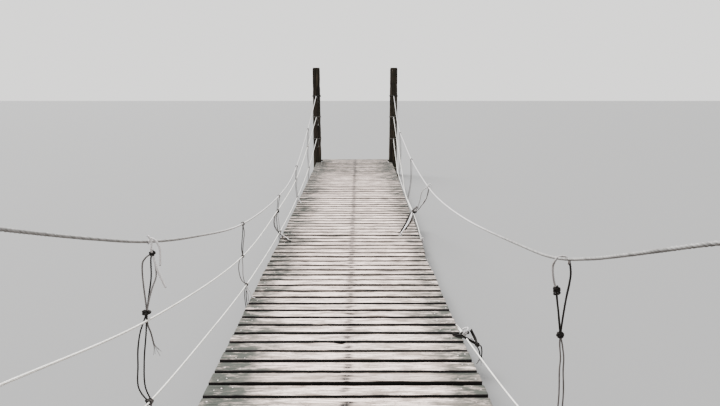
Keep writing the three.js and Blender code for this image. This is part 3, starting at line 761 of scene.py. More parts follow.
# How far out each end nail is, and how often a board has it
END_NAILS = ((0.680, 0.9), (0.642, 0.55), (0.582, 0.45))
END_NAIL_SHIFT = (-0.009, 0.007)
END_NAIL_HALF = 0.03
MIDDLE_NAIL_HALF = 0.014
NAIL_WANDER = 0.006
BRIGHT = 0.1
RUSTY = 0.9
NAIL_RADIUS = 0.0048
NAIL_SIDES = 7
NAIL_SINK = (-0.0008, 0.0006)
NAIL_HEIGHTS = np.array([-0.004, 0.0003, 0.0011])
NAIL_PROFILE = np.array([0.95, 1.0, 0.6])
NAIL_SIZES = (0.8, 1.1)
# Stains round a nail: reach along and across a bright one, how much more for rust, and strength
NAIL_STAIN_ALONG = (0.007, 0.012)
NAIL_STAIN_ACROSS = (0.006, 0.009)
RUST_REACH = (0.018, 0.004)
NAIL_STAIN = (0.35, 0.75)
NAIL_STAIN_SHARE = (0.6, 1.0)
STREAK_STAIN = 0.8
# Dirt: its reach and strength at the ends, its patches, and where along and across the deck it sets in
DIRT_CELLS = (7, 1.3)
DIRT_REACH = (0.22, 0.48)
DIRT_STRENGTH = (0.7, 1.3)
LEFT_DIRT = (-0.72, -0.70)
RIGHT_DIRT = (0.70, 0.69)
RIGHT_DIRT_SHARE = 0.75
END_DIRT = 0.62
END_DIRT_PATCHES = 0.35
NEAR_DIRT = (0.45, 3.6, 1.6)
FAR_DIRT = (0.08, 6.0, 10.5)
LAST_DIRT = (0.22, 8.8, 9.3)
EDGE_DIRT = (0.12, 0.7, 1.0)
PATCH_DIRT = (0.06, 0.1, 0.7)
# Painted shade on the lower half of a board's sides and on its underside
UNDER_SHADE = 0.62


def plank_outline(half, thickness, rim_width):
    """A plank's section, counter-clockwise, with its top at zero height and narrow rims along its edges."""
    edge = BOARD_EDGE
    cut = EDGE_ROUNDING * edge
    bottom = [(y, -thickness) for y in np.linspace(-half + edge, half - edge, BOTTOM_POINTS)]
    right = [(half, edge - thickness), (half, -thickness / 2), (half, -edge), (half - cut, -cut)]
    rim = half - edge - rim_width
    top = [(y, 0.0) for y in (half - edge, *np.linspace(rim, -rim, TOP_POINTS), edge - half)]
    left = [(-y, z) for y, z in reversed(right)]
    return np.array(bottom + right + top + left)


edge_places = [DECK_START, *bearer_places, DECK_END - (BOARD_PITCH - BOARD_WIDTH)]


def board_ends(y):
    """Where a board ends at the left and right, cut short beside a post that stands in its way."""
    left, right = (np.interp(y, edge_places, column) for column in zip(*DECK_EDGES))
    dip_y, dip_half, dip_depth = EDGE_DIP
    right -= dip_depth * math.exp(-(((y - dip_y) / dip_half) ** 2))
    for post in posts.values():
        if abs(y - post["y"]) < post["base"] + BOARD_WIDTH / 2:
            reach = abs(post["x"]) - post["base"] - POST_CLEARANCE
            left = max(left, -reach) if post["x"] < 0 else left
            right = min(right, reach) if post["x"] > 0 else right
    return left, right


def plank_stations(left, right):
    """Places along a board: close together at its ends and round its nails."""
    places = [np.linspace(left + STATIONS_START, right - STATIONS_START, PLANK_STATIONS)]
    for middle in STRINGER_PLACES:
        places.append(np.linspace(middle - NAIL_ZONE, middle + NAIL_ZONE, ZONE_STATIONS))
    inner = np.unique(np.round(np.concatenate(places), 4))
    inner = inner[(inner > left + STATIONS_CLEAR) & (inner < right - STATIONS_CLEAR)]
    return np.concatenate([left + END_STATIONS, inner, right - END_STATIONS[::-1]])


def edge_loss(x, index, side):
    """How far a board's edge has worn back at each place along it."""
    waves = joined(x * WAVE_CELLS, index * WAVE_STEPS[0], side * WAVE_STEPS[1])
    nicks = joined(x * NICK_CELLS, index * NICK_STEPS[0], side * NICK_STEPS[1])
    opened = EDGE_LOSS + ramp(*LATER_LOSS, index)
    loss = opened + WAVE_LOSS * (1 + noise(waves, 11)) + NICK_LOSS * (1 + noise(nicks, 12))
    loss += ramp(*CHIP_LOSS, noise(waves * CHIP_CELLS, 13))
    gap = index if side > 0 else index - 1
    if gap in WIDE_GAPS:
        at_left, at_right = WIDE_GAPS[gap]
        loss += at_left + (at_right - at_left) * (x / DECK_HALF_WIDTH + 1) / 2
    for board, place, half_length, depth in BITES:
        if board == index and side > 0:
            loss += ramp(depth, 1.0, BITE_FLOOR, np.abs(x - place) / half_length)
    return loss


def nail_places():
    """Where a board's nails go, and how rusty each is: one to three at each end and two in the middle."""
    places = []
    for side in (-1, 1):
        for reach, chance in END_NAILS:
            if rng.random() < chance:
                x = side * (reach + rng.uniform(*END_NAIL_SHIFT))
                places.append((x, rng.uniform(-END_NAIL_HALF, END_NAIL_HALF), BRIGHT))
    for step in (-1, 1):
        x = rng.normal(0, NAIL_WANDER)
        places.append((x, step * MIDDLE_NAIL_HALF + rng.uniform(-NAIL_WANDER, NAIL_WANDER), RUSTY))
    return places


def board_dirt_and_shade(x, share, index, middle, on_top):
    """How dirty a board is at each point, worst at its ends and along its edges, with painted shade on the
    lower half of its sides and on its underside.
    """
    patches = noise(joined(x[:, None] * DIRT_CELLS[0], share[None] * DIRT_CELLS[1], index * DIRT_STEP), 24)
    left_reach, right_reach = rng.uniform(*DIRT_REACH, 2)
    strength = rng.uniform(*DIRT_STRENGTH, 2) * (1 + ramp(*NEAR_DIRT, middle))
    left = strength[0] * smoothstep(LEFT_DIRT[0] + left_reach, LEFT_DIRT[1], x)
    right = strength[1] * RIGHT_DIRT_SHARE * smoothstep(RIGHT_DIRT[0] - right_reach, RIGHT_DIRT[1], x)
    at_end = np.maximum(left, right)[:, None]
    dirt = at_end * (END_DIRT + END_DIRT_PATCHES * patches) + ramp(*FAR_DIRT, middle) * (1 + patches)
    dirt = dirt + ramp(*LAST_DIRT, middle)
    dirt = dirt + ramp(*EDGE_DIRT, np.abs(share))[None] + ramp(*PATCH_DIRT, patches)
    # Painted shade: the lower half of the sides and the underside are at least this dark
    return np.where(on_top[None], dirt, np.maximum(dirt, UNDER_SHADE))


def mark(x, base, place_x, place_y, half_x, half_y):
    """A soft round mark on a board."""
    off = ((x[:, None] - place_x) / half_x) ** 2 + ((base[None, :, 0] - place_y) / half_y) ** 2
    return np.exp(-off)


def board_stain_and_shade(x, base, index, middle, nails, on_top, from_end, rim_width):
    """Darkening of a board: painted shade on its side walls, on its rims and on a patchy band along its
    edges further out, and real stains round its nails and along the streaks that are listed.
    """
    # Painted shade on the side walls below the top, weaker near the ends
    at_end = END_WALL_SHADE + ramp(1 - END_WALL_SHADE, 0.0, END_WALL_REACH, from_end)
    wall = smoothstep(0.0, WALL_DEPTH, -base[:, 1])[None] * at_end[:, None]
    # Painted shade on the rounded edges, and on a patchy band along the edges of boards further out
    strength = rng.uniform(*RIM_SHADE, 2)
    reach = np.abs(base[:, 0])
    flat = BOARD_WIDTH / 2 - BOARD_EDGE
    rim = np.where(reach > flat - RIM / 2, 1.0, 0.0)
    patchy = smoothstep(*BAND_PATCHES, noise(joined(x * BAND_CELLS, index * BAND_STEP, 0), 25))
    band = patchy[:, None] * smoothstep(*BAND_FROM, middle)
    band = np.where(reach > flat - BAND_SHARE * rim_width, band, 0.0)
    wall = np.maximum(wall, np.maximum(rim[None], band) * np.where(base[:, 0] > 0, *strength))
    stain = np.zeros((len(x), len(base)))
    for nail_x, nail_y, rusty in nails:
        half_x = rng.uniform(*NAIL_STAIN_ALONG) + RUST_REACH[0] * rusty
        half_y = rng.uniform(*NAIL_STAIN_ACROSS) + RUST_REACH[1] * rusty
        most = (NAIL_STAIN[0] + NAIL_STAIN[1] * rusty) * rng.uniform(*NAIL_STAIN_SHARE)
        stain += most * mark(x, base, nail_x, nail_y, half_x, half_y)
    for board, place, half_length, place_y, half_width in STREAKS:
        if board == index:
            stain += STREAK_STAIN * mark(x, base, place, place_y, half_length, half_width)
    return np.clip(np.maximum(stain * on_top[None], wall), 0, 1)


def make_board(shape, index):
    """One weathered board: worn edges, rounded ends, a little cupped and twisted, with its nails."""
    middle = DECK_START + index * BOARD_PITCH + BOARD_WIDTH / 2
    left, right = board_ends(middle)
    x = plank_stations(left + rng.uniform(0, RAGGED_LEFT), right - rng.uniform(0, RAGGED_RIGHT))
    rim_width = RIM * (1 + ramp(*MIDDLE_RIM, middle) + ramp(*FAR_RIM, middle))
    base = plank_outline(BOARD_WIDTH / 2, BOARD_THICKNESS, rim_width)
    share = base[:, 0] / (BOARD_WIDTH / 2)
    sections = np.broadcast_to(base, (len(x),) + base.shape).copy()
    for side in (-1, 1):
        pull = smoothstep(*EDGE_SHARE, share * side)
        sections[..., 0] -= side * pull[None] * edge_loss(x, index, side)[:, None]
    cup = rng.normal(*CUP)
    half_thick = BOARD_THICKNESS / 2
    on_top = base[:, 1] > -half_thick
    along_cells, across_cells = RELIEF_CELLS
    relief_at = joined(x[:, None] * along_cells, base[None, :, 0] * across_cells, index * RELIEF_STEP)
    relief = RELIEF * noise(relief_at, 21) + FINE_RELIEF * noise(relief_at * FINE_CELLS, 22)
    sections[..., 1] += np.where(on_top[None], relief, 0) + cup * (share[None] ** 2 - 1)
    from_end = np.minimum(x - x[0], x[-1] - x)
    inset = (END_INSET * (1 - smoothstep(0, END_INSET_REACH, from_end)))[:, None]
    sections[..., 0] *= 1 - inset / (BOARD_WIDTH / 2)
    sections[..., 1] = (sections[..., 1] + half_thick) * (1 - inset * END_THINNING) - half_thick
    yaw = rng.normal(*TURN) * (0 < index < BOARD_COUNT - 1)
    twist = rng.normal(*TWIST)
    slope = (deck_top(middle + HALF_BOARD) - deck_top(middle - HALF_BOARD)) / (2 * HALF_BOARD)
    roll = math.atan(slope) + twist * x
    lift = rng.uniform(*LIFT)
    centre_z = deck_top(middle) + lift + rng.normal(*BOW) * ((x / DECK_HALF_WIDTH) ** 2 - BOW_LEVEL)
    centres = joined(x, middle + yaw * x, centre_z)
    across = joined(0.0, np.cos(roll), np.sin(roll))
    up = joined(0.0, -np.sin(roll), np.cos(roll))
    nails = nail_places()
    # Dirt and stains, together with painted shade on the sides, rims and underside
    dirt = board_dirt_and_shade(x, share, index, middle, on_top)
    stain = board_stain_and_shade(x, base, index, middle, nails, on_top, from_end, rim_width)
    tone = np.clip(rng.normal(0, TONE_SPREAD), -TONE_LIMIT, TONE_LIMIT)
    grain = sections + (0.0, index * BOARD_GRAIN[0])
    shape.sweep(centres, across, up, sections, tone, dirt, stain, grain, index * BOARD_GRAIN[1])
    for nail_x, nail_y, rusty in nails:
        turn = math.atan(slope) + twist * nail_x
        y = middle + yaw * nail_x + nail_y * math.cos(turn)
        z = np.interp(nail_x, x, centre_z) + nail_y * math.sin(turn)
        drive_nail(shape, nail_x, y, z + cup * ((nail_y / HALF_BOARD) ** 2 - 1), rusty)


def drive_nail(shape, x, y, z, rusty):
    """A nail's domed head, driven a little below or above the wood."""
    centres = joined(x, y, NAIL_HEIGHTS + z + rng.uniform(*NAIL_SINK))
    radii = NAIL_RADIUS * rng.uniform(*NAIL_SIZES) * NAIL_PROFILE
    sections = radii[:, None, None] * circle(NAIL_SIDES)[1][None]
    start = rng.uniform(0, NAIL_GRAINS)
    shape.sweep(centres, (1, 0, 0), (0, 1, 0), sections, stain=rusty, start=start, finish=1)


bays = [Shape() for bay in bearers]
for board_index in range(BOARD_COUNT):
    board_middle = DECK_START + board_index * BOARD_PITCH + BOARD_WIDTH / 2
    bay_index = sum(1 for place in bearer_places[:-1] if board_middle > place)
    make_board(bays[bay_index], board_index)
for number, bay_shape in enumerate(bays, 1):
    bay_shape.build(f"boards_{number}", [deck_wood, nail_iron], "deck_wood", f"deck_bay_{number}")


# Squared timbers
CORNERS = ((1, -1), (1, 1), (-1, 1), (-1, -1))
TIMBER_EDGE = 0.006
TIMBER_EDGE_CUT = 0.3
TIMBER_SIDE_POINTS = 5
TIMBER_CELLS = (5, 40)
FINE_TIMBER_CELLS = (5, 1.5, 1.5)
FINE_TIMBER_WEAR = 0.6
TIMBER_DIRT = 0.3
TIMBER_DIRT_CELLS = (0.6, 0.5, 0.5)
TIMBER_INSET = 0.004
TIMBER_INSET_REACH = 0.009
TIMBER_ENDS = np.array([0.0, 0.0015, 0.005, 0.012])
TIMBER_INNER = 0.02
CROSS_STATIONS = 56
CROSS_BOW = 0.003
CROSS_WEAR = 0.002
CROSS_BOW_CELLS = 1.1
BEARER_TONE = 0.3
STRINGER_TONE = 0.6
STRINGER_WEAR = 0.0016
STRINGER_STATIONS = 24
STRINGER_ENDS = np.array([0.0, 0.002, 0.006])
STRINGER_START = 0.004
STRINGER_STOP = 0.02
STRINGER_GAP = 0.001
UNDER_BOARDS = 0.0012
NOTCH_WALL = 0.0006
NOTCH_SHARE = 0.1
FIRST_STRINGER_SEED = 40


def timber_outline(half_width, half_depth):
    """A squared timber's section with worn edges, counter-clockwise."""
    points = []
    for number, (sign_x, sign_y) in enumerate(CORNERS):
        next_x, next_y = CORNERS[(number + 1) % 4]
        along_x, along_y = (next_x - sign_x) / 2, (next_y - sign_y) / 2
        length = half_width if along_x else half_depth
        for place in np.linspace(-length + TIMBER_EDGE, length - TIMBER_EDGE, TIMBER_SIDE_POINTS):
            x = sign_x * half_width * abs(along_y) + along_x * place
            points.append((x, sign_y * half_depth * abs(along_x) + along_y * place))
        cut = TIMBER_EDGE_CUT * TIMBER_EDGE
        points.append((next_x * (half_width - cut), next_y * (half_depth - cut)))
    return np.array(points)


def make_timber(shape, places, centres, across, up, half_width, half_depth, seed, tone, wear, notches=()):
    """A rough timber along a row of places, with cuts underneath where notches are given."""
    base = timber_outline(half_width, half_depth)
    sections = np.broadcast_to(base, (len(places),) + base.shape).copy()
    along_cells, cells = TIMBER_CELLS
    at = joined(places[:, None] * along_cells, base[None, :, 0] * cells, base[None, :, 1] * cells + seed)
    fine = noise(at * FINE_TIMBER_CELLS, 32)
    loss = wear * (0.5 + 0.5 * noise(at, 31)) + wear * FINE_TIMBER_WEAR * (0.5 + 0.5 * fine)
    reach = np.maximum(np.abs(base[:, 0]) / half_width, np.abs(base[:, 1]) / half_depth)
    size = joined(half_width * reach, half_depth * reach)
    sections *= 1 - loss[..., None] / size[None]
    from_end = np.minimum(places - places[0], places[-1] - places)
    inset = TIMBER_INSET * (1 - smoothstep(0, TIMBER_INSET_REACH, from_end))
    sections *= 1 - inset[:, None, None] / half_depth
    for notch in notches:
        inside = np.abs(places - notch) < NOTCH_HALF
        cut = sections[..., 1] < NOTCH_SHARE * half_depth - half_depth
        sections[..., 1] += np.where(inside[:, None] & cut, NOTCH_DEPTH, 0)
    dirt = TIMBER_DIRT + TIMBER_DIRT * noise(at * TIMBER_DIRT_CELLS, 33)
    grain = sections + (0.0, seed * TIMBER_GRAIN[0])
    shape.sweep(centres, across, up, sections, tone, dirt, 0.0, grain, seed * TIMBER_GRAIN[1])


def cross_timber(name, low, high, seed, tone, ending, notches=(), walls=()):
    """A bearer or a sill, which lies across the deck."""
    inner = np.linspace(low.x + TIMBER_INNER, high.x - TIMBER_INNER, CROSS_STATIONS)
    x = np.unique(np.concatenate([low.x + TIMBER_ENDS, inner, walls, high.x - TIMBER_ENDS]))
    bow = CROSS_BOW * noise(joined(x * CROSS_BOW_CELLS, seed, 0), 34) * (notches == ())
    centres = joined(x, (low.y + high.y) / 2 + bow, (low.z + high.z) / 2)
    sizes = ((high.y - low.y) / 2, (high.z - low.z) / 2)
    shape = Shape()
    make_timber(shape, x, centres, (0, 1, 0), (0, 0, 1), *sizes, seed, tone, CROSS_WEAR, notches)
    shape.build(f"{name}_timber{ending}", [bearer_wood], "bearer_wood", name + ending)


def make_stringers(index):
    """The three timbers that a bay's boards are nailed to."""
    shape = Shape()
    is_last = index == len(bearers) - 1
    start = bearer_places[index - 1] + STRINGER_GAP if index else DECK_START + STRINGER_START
    end = DECK_END - STRINGER_STOP if is_last else bearer_places[index] - STRINGER_GAP
    inner = np.linspace(start + STRINGER_STOP, end - STRINGER_STOP, STRINGER_STATIONS)
    y = np.unique(np.concatenate([start + STRINGER_ENDS, inner, end - STRINGER_ENDS[::-1]]))
    for number, place in enumerate(STRINGER_PLACES):
        centres = joined(place, y, deck_top(y) - BOARD_THICKNESS - STRINGER_DEPTH / 2 - UNDER_BOARDS)
        seed = FIRST_STRINGER_SEED + len(STRINGER_PLACES) * index + number
        sizes = (STRINGER_DEPTH / 2, STRINGER_WIDTH / 2)
        make_timber(shape, y, centres, (0, 0, 1), (1, 0, 0), *sizes, seed, STRINGER_TONE, STRINGER_WEAR)
    shape.build(f"stringers_{index + 1}", [bearer_wood], "bearer_wood", f"deck_bay_{index + 1}")


for number, (low, high) in enumerate(bearers, 1):
    cross_timber("bearer", low, high, number, BEARER_TONE, f"_{number}")
notch_walls = []
for side in (-1, 1):
    for edge in (-1, 1):
        wall = side * (CABLE_OFFSET + edge * NOTCH_HALF)
        notch_walls += [wall - NOTCH_WALL, wall + NOTCH_WALL]
for name, (low, high), seed in (("near_sill", sills[0], 11), ("far_sill", sills[1], 12)):
    cross_timber(name, low, high, seed, 0.0, "", (-CABLE_OFFSET, CABLE_OFFSET), notch_walls)
for bay_index in range(len(bearers)):
    make_stringers(bay_index)


# Posts
POST_SIDES = 56
POST_ROWS = 96
POST_FEET = (0.0, 0.004)
POST_ROWS_FROM = 0.02
POST_ROWS_TO = 0.03
POST_TOPS = (0.014, 0.005, 0)
BARK_CELLS = (4.5, 2.6, 9)
FINE_BARK = (2.6, 2.6, 5.0)
BROAD_BARK = (0.25, 0.25, 0.5)
FURROW_DEPTH = 0.0065
FURROW_EDGE = 0.4
# Painted shade in the bark's furrows: its strength and how far it reaches out of them
FURROW_SHADE = (0.7, 0.3)
FINE_DEPTH = 0.0016
BROAD_DEPTH = 0.003
STUB_COUNT = 5
STUB_HEIGHTS = (0.3, 0.2)
STUB_HALF = (0.017, 0.022)
STUB_RISE = 0.008
TOP_ROUNDING = 0.010
TOP_ROUNDED = 0.02
FOOT_DIRT = (0.75, 0.5)
FOOT_PATCHES = (0.7, 0.3)
BARK_DIRT = 0.15
BARK_TONE = 0.2


def post_radius(post, z):
    """Radius of a post's wood at a height."""
    return post["base"] * (1 - (1 - POST_TOP_SHARE) * z / post["height"])


def make_post(name, post, seed):
    """A rough trunk with furrowed bark, trimmed branch stubs and a sawn, weathered top."""
    height = post["height"]
    rows = np.linspace(POST_ROWS_FROM, height - POST_ROWS_TO, POST_ROWS)
    z = np.concatenate([POST_FEET, rows, height - np.array(POST_TOPS)])
    angles, ring = circle(POST_SIDES)
    ring_cells, row_cells, apart = BARK_CELLS
    rising = z[:, None] * row_cells + seed * apart
    around = joined(ring[None, :, 0] * ring_cells, ring[None, :, 1] * ring_cells, rising)
    furrow = np.abs(noise(around, 51))
    fine = noise(around * FINE_BARK, 52)
    broad = noise(around * BROAD_BARK, 53)
    loss = FURROW_DEPTH * (1 - smoothstep(0.0, FURROW_EDGE, furrow))
    loss = loss + FINE_DEPTH * (1 + fine) + BROAD_DEPTH * (1 + broad)
    radius = post_radius(post, z)[:, None] - loss
    stubs = np.zeros_like(radius)
    for stub in range(STUB_COUNT):
        angle = rng.uniform(0, 2 * math.pi)
        place = rng.uniform(STUB_HEIGHTS[0], height - STUB_HEIGHTS[1])
        off = np.angle(np.exp(1j * (angles[None] - angle))) * post["base"]
        near = (off / STUB_HALF[0]) ** 2 + ((z[:, None] - place) / STUB_HALF[1]) ** 2
        stubs += STUB_RISE * np.exp(-near)
    radius = np.minimum(radius + stubs, post["base"])
    radius -= TOP_ROUNDING * (1 - smoothstep(0.0, TOP_ROUNDED, height - z))[:, None]
    sections = radius[..., None] * ring[None]
    foot = FOOT_DIRT[0] * (1 - smoothstep(0.0, FOOT_DIRT[1], z))[:, None]
    dirt = foot * (FOOT_PATCHES[0] + FOOT_PATCHES[1] * broad) + BARK_DIRT * (1 + broad)
    # Painted shade: darker in the furrows
    stain = FURROW_SHADE[0] * (1 - smoothstep(0.0, FURROW_SHADE[1], furrow))
    centres = joined(post["x"], post["y"], z)
    tone = BARK_TONE * broad
    shape = Shape()
    shape.sweep(centres, (1, 0, 0), (0, 1, 0), sections, tone, dirt, stain, None, seed * POST_GRAIN)
    shape.build(f"{name}_trunk", [post_wood], "post_wood", f"{name}_post")


for seed, (name, post) in enumerate(posts.items(), 1):
    make_post(name, post, seed)


# Ropes between the posts: radius, heights of the ties, and places as x, y and height above the deck's ends
ROUTES = {
    "left_hand_rope": (
        HAND_RADIUS,
        {"near_left": 1.266, "far_left": 1.266},
        [
            (-0.772, 0.177, 1.177), (-0.770, 0.636, 1.033), (-0.770, 1.105, 0.898), (-0.770, 1.790, 0.742),
            (-0.770, 2.990, 0.521), (-0.770, 5.070, 0.346), (-0.770, 6.495, 0.365), (-0.770, 8.673, 0.737),
        ],
    ),
    "left_mid_rope": (
        SIDE_RADIUS,
        {"near_left": 0.870, "far_left": 0.870},
        [
            (-0.778, 0.120, 0.815), (-0.783, 1.080, 0.578), (-0.780, 3.030, 0.273),
            (-0.780, 4.860, 0.207), (-0.780, 6.970, 0.236), (-0.778, 8.800, 0.480),
        ],
    ),
    "left_low_rope": (
        SIDE_RADIUS,
        {"near_left": 0.470, "far_left": 0.450},
        [
            (-0.780, 1.030, 0.250), (-0.765, 1.730, 0.178), (-0.760, 3.040, 0.056),
            (-0.760, 4.870, -0.020), (-0.768, 6.880, -0.018), (-0.765, 8.750, 0.120),
        ],
    ),
    "right_hand_rope": (
        HAND_RADIUS,
        {"near_right": 1.225, "far_right": 1.270},
        [
            (0.806, 0.010, 1.188), (0.801, 0.660, 0.960), (0.805, 1.020, 0.858), (0.805, 1.550, 0.769),
            (0.802, 2.800, 0.595), (0.800, 4.140, 0.471), (0.800, 5.110, 0.433), (0.778, 6.835, 0.496),
            (0.766, 7.900, 0.601), (0.750, 9.170, 0.776),
        ],
    ),
    "right_mid_rope": (
        SIDE_RADIUS,
        {"far_right": 0.870},
        [
            (0.720, 2.335, -0.048), (0.720, 2.390, -0.056), (0.720, 2.480, -0.066), (0.703, 2.640, -0.092),
            (0.668, 2.860, -0.104), (0.652, 3.060, -0.098), (0.650, 3.700, -0.090), (0.651, 4.150, -0.093),
            (0.664, 4.450, -0.100), (0.691, 4.750, -0.104), (0.708, 5.000, -0.092), (0.720, 5.400, -0.074),
            (0.720, 5.880, -0.040), (0.720, 5.970, -0.036), (0.720, 6.060, -0.036), (0.722, 7.000, -0.030),
            (0.730, 7.460, 0.015), (0.735, 7.820, 0.118), (0.735, 8.380, 0.272), (0.734, 8.790, 0.420),
            (0.733, 9.120, 0.490),
        ],
    ),
    "right_low_rope": (
        SIDE_RADIUS,
        {"near_right": 0.440, "far_right": 0.450},
        [
            (0.775, 0.500, 0.290), (0.740, 1.160, 0.160), (0.730, 2.313, -0.044), (0.7295, 2.390, -0.056),
            (0.7295, 2.480, -0.066), (0.717, 2.640, -0.088), (0.684, 2.860, -0.099), (0.666, 3.060, -0.093),
            (0.664, 3.700, -0.092), (0.665, 4.150, -0.095), (0.680, 4.450, -0.102), (0.706, 4.750, -0.106),
            (0.722, 5.000, -0.094), (0.733, 5.400, -0.076), (0.730, 5.880, -0.040), (0.7295, 5.970, -0.036),
            (0.730, 6.060, -0.036), (0.733, 7.000, -0.042), (0.732, 8.140, -0.018), (0.735, 8.970, 0.038),
        ],
    ),
}
# Painted sunlight along the hand ropes, and painted shade where the fallen rope runs under the boards'
# ends: share, from and to along the deck
HAND_SUNLIGHT = (0.6, 1.2, 3.0)
SHADE_FROM = (1.0, 4.2, 4.6)
SHADE_TO = (1.0, 5.9, 6.3)
FALLEN_END_TONE = 0.4
TIE_TONE = -0.85
TIE_TURNS = 2.4
TIE_SINK = 0.005
TIE_LOOSE = 0.012
TIE_KNOT = 2.9
TIE_KNOT_OUT = 0.6
TIE_KNOT_TILT = 1.3
TIE_KNOT_TURN = 0.3
TAIL_DROP = 1.5
TAIL_STEP = 0.006
TAIL_OUT = (0.012, 0.02)
TAIL_BULGE = 0.006
TAIL_AWAY = 0.004
HAND_TAIL = 0.09
SIDE_TAIL = 0.13
rope_lines = {}


def tie_place(post, height, radius):
    """Where a rope leaves a post, on its river face."""
    z = DECK_TOP + height
    return np.array([post["x"], post["y"] + post["river"] * (post_radius(post, z) + radius), z])


def make_main_rope(name, material, slot):
    """One of the ropes between the posts, with its turns, knot and tail at each post."""
    radius, ties, points = ROUTES[name]
    route = [np.array([x, y, DECK_TOP + height]) for x, y, height in points]
    for key, height in ties.items():
        place = tie_place(posts[key], height, radius)
        route = [place] + route if posts[key]["river"] > 0 else route + [place]
    is_hand = radius == HAND_RADIUS
    is_fallen = len(ties) == 1
    step, lay, detail = (HAND_STEP, HAND_LAY, 4) if is_hand else (SIDE_STEP, SIDE_LAY, 3)
    line = curve(route, step)
    rope_lines[name] = line
    shape = Shape()
    along = line[:, 1:2]
    # Painted sunlight: the hand ropes grow paler from about 1.2 m along the deck
    painted_sunlight = ramp(*HAND_SUNLIGHT, along) if is_hand else 0.0
    # Painted shade: the fallen rope is darker where it runs under the boards' ends
    soil_and_shade = ramp(*SHADE_FROM, along) - ramp(*SHADE_TO, along) if is_fallen else 0.0
    lay_rope(shape, line, radius, lay, 3, detail, painted_sunlight, soil_and_shade)
    for key, height in ties.items():
        tie_to_post(shape, posts[key], height, radius, HAND_TAIL if is_hand else SIDE_TAIL)
    if is_fallen:
        fray(shape, line[0], line[0] - line[3], radius, FALLEN_END_TONE)
    shape.build(name + "_laid", [material], slot, name)


def tie_to_post(shape, post, height, radius, tail_length):
    """Turns of rope round a post, a knot on its river face and a short tail."""
    z = DECK_TOP + height
    river = post["river"]
    held = post_radius(post, z) - TIE_SINK
    centre = (post["x"], post["y"], z)
    coil(shape, centre, (0, 0, 1), held, TIE_TURNS, river * math.pi / 2, TIE_TONE, radius, TIE_LOOSE)
    front = tie_place(post, height, radius)
    front[1] += river * TIE_KNOT_OUT * radius
    knot(shape, front, TIE_KNOT * radius, TIE_KNOT_TILT, TIE_KNOT_TURN + height, TIE_TONE, radius)
    start = front + np.array([TAIL_OUT[0], river * radius, -TAIL_DROP * radius])
    end = start + np.array([TAIL_OUT[1], TAIL_AWAY * river, -tail_length])
    tail = [front, start, (start + end) / 2 + np.array([TAIL_BULGE, TAIL_BULGE * river, 0]), end]
    lay = STRAND_LAY * radius / STRAND_RADIUS
    lay_rope(shape, curve(tail, TAIL_STEP), radius, lay, tone=TIE_TONE)
    fray(shape, end, (0.1, 0, -1), radius, TIE_TONE)


make_main_rope("left_hand_rope", hand_rope, "hand_rope")
make_main_rope("right_hand_rope", hand_rope, "hand_rope")
for name in ("left_mid_rope", "left_low_rope", "right_mid_rope", "right_low_rope"):
    make_main_rope(name, side_rope, "side_rope")

# Deck cables
CABLE_STRANDS = 6
CABLE_TURNS = 2.0
CABLE_CORNER = 0.02
CABLE_TURN_STEP = 0.009


def make_cable(name, x):
    """A stranded cable over the sills and under the bearers, looped round each sill."""
    over = sills[0][1].z + ROPE_GAP + CABLE_RADIUS
    points = [(x, sills[0][0].y, over), (x, sills[0][1].y + CABLE_RADIUS, over)]
    for low, high in bearers:
        z = low.z - ROPE_GAP - CABLE_RADIUS
        points += [(x, low.y - CABLE_RADIUS, z), (x, high.y + CABLE_RADIUS, z)]
    points += [(x, sills[1][0].y - CABLE_RADIUS, over), (x, sills[1][1].y, over)]
    shape = Shape()
    lay_rope(shape, even_steps(points, CABLE_STEP), CABLE_RADIUS, CABLE_LAY, CABLE_STRANDS)
    for low, high in sills:
        half_depth = (high.z - low.z - NOTCH_DEPTH) / 2
        centre = (x, (low.y + high.y) / 2, low.z + NOTCH_DEPTH + half_depth)
        half_width = (high.y - low.y) / 2
        turns = timber_turns(centre, half_width, half_depth, CABLE_RADIUS, CABLE_TURNS, CABLE_CORNER)
        lay_rope(shape, even_steps(turns, CABLE_TURN_STEP), CABLE_RADIUS, CABLE_LAY, CABLE_STRANDS)
    shape.build(name + "_wires", [deck_cable], "deck_cable", name)


make_cable("left_deck_cable", -CABLE_OFFSET)
make_cable("right_deck_cable", CABLE_OFFSET)

# Hangers
LOOP_INSETS = (0.04, 0.022, 0.022, 0.022, 0.022, 0.04)
LOOP_TURNS = 2.4
LOOP_SINK = 0.001
HOLD_ANGLE = 0.6
AHEAD = 0.02
# Tones of old rope, from its darkest to bleached white
DARK = -0.9
DIM = -0.35
GREY = 0.1
PALER = 0.3
LILAC = 0.6
WHITE = 1.0


def on_rope(name, y):
    """A rope's centre and direction at a place along the deck."""
    line = rope_lines[name]
    line = line[np.argsort(line[:, 1])]
    centre, ahead = (
        np.array([np.interp(place, line[:, 1], column) for column in line.T]) for place in (y, y + AHEAD)
    )
    return centre, ahead - centre


def above(x, y, height):
    """A place given by its height above the ends of the deck."""
    return np.array([x, y, DECK_TOP + height])


def on_deck(x, y, rise=0.0):
    """A place where a strand lies on the boards, or a little above them."""
    return np.array([x, y, deck_top(y) + STRAND_RADIUS + rise])


def placed(point, y=0.0):
    """A place from x and height in the plane at y, from x, y and height, or one that is a place already."""
    if isinstance(point, np.ndarray):
        return point
    x, *own_y, height = point
    return above(x, own_y[0] if own_y else y, height)


def strand(shape, tone, points, y=0.0, thick=False, frayed=False):
    """A length of hanger rope on a smooth route through the points, which may end in loose yarns."""
    radius = THICK_RADIUS if thick else STRAND_RADIUS
    centres = curve([placed(point, y) for point in points], STRAND_STEP)
    lay_rope(shape, centres, radius, STRAND_LAY, tone=tone)
    if frayed:
        fray(shape, centres[-1], centres[-1] - centres[-4], radius, tone)


def strands(shape, *rows, thick=False):
    """Several lengths of hanger rope, each given as a tone, y and points."""
    for tone, y, points in rows:
        strand(shape, tone, points, y, thick)


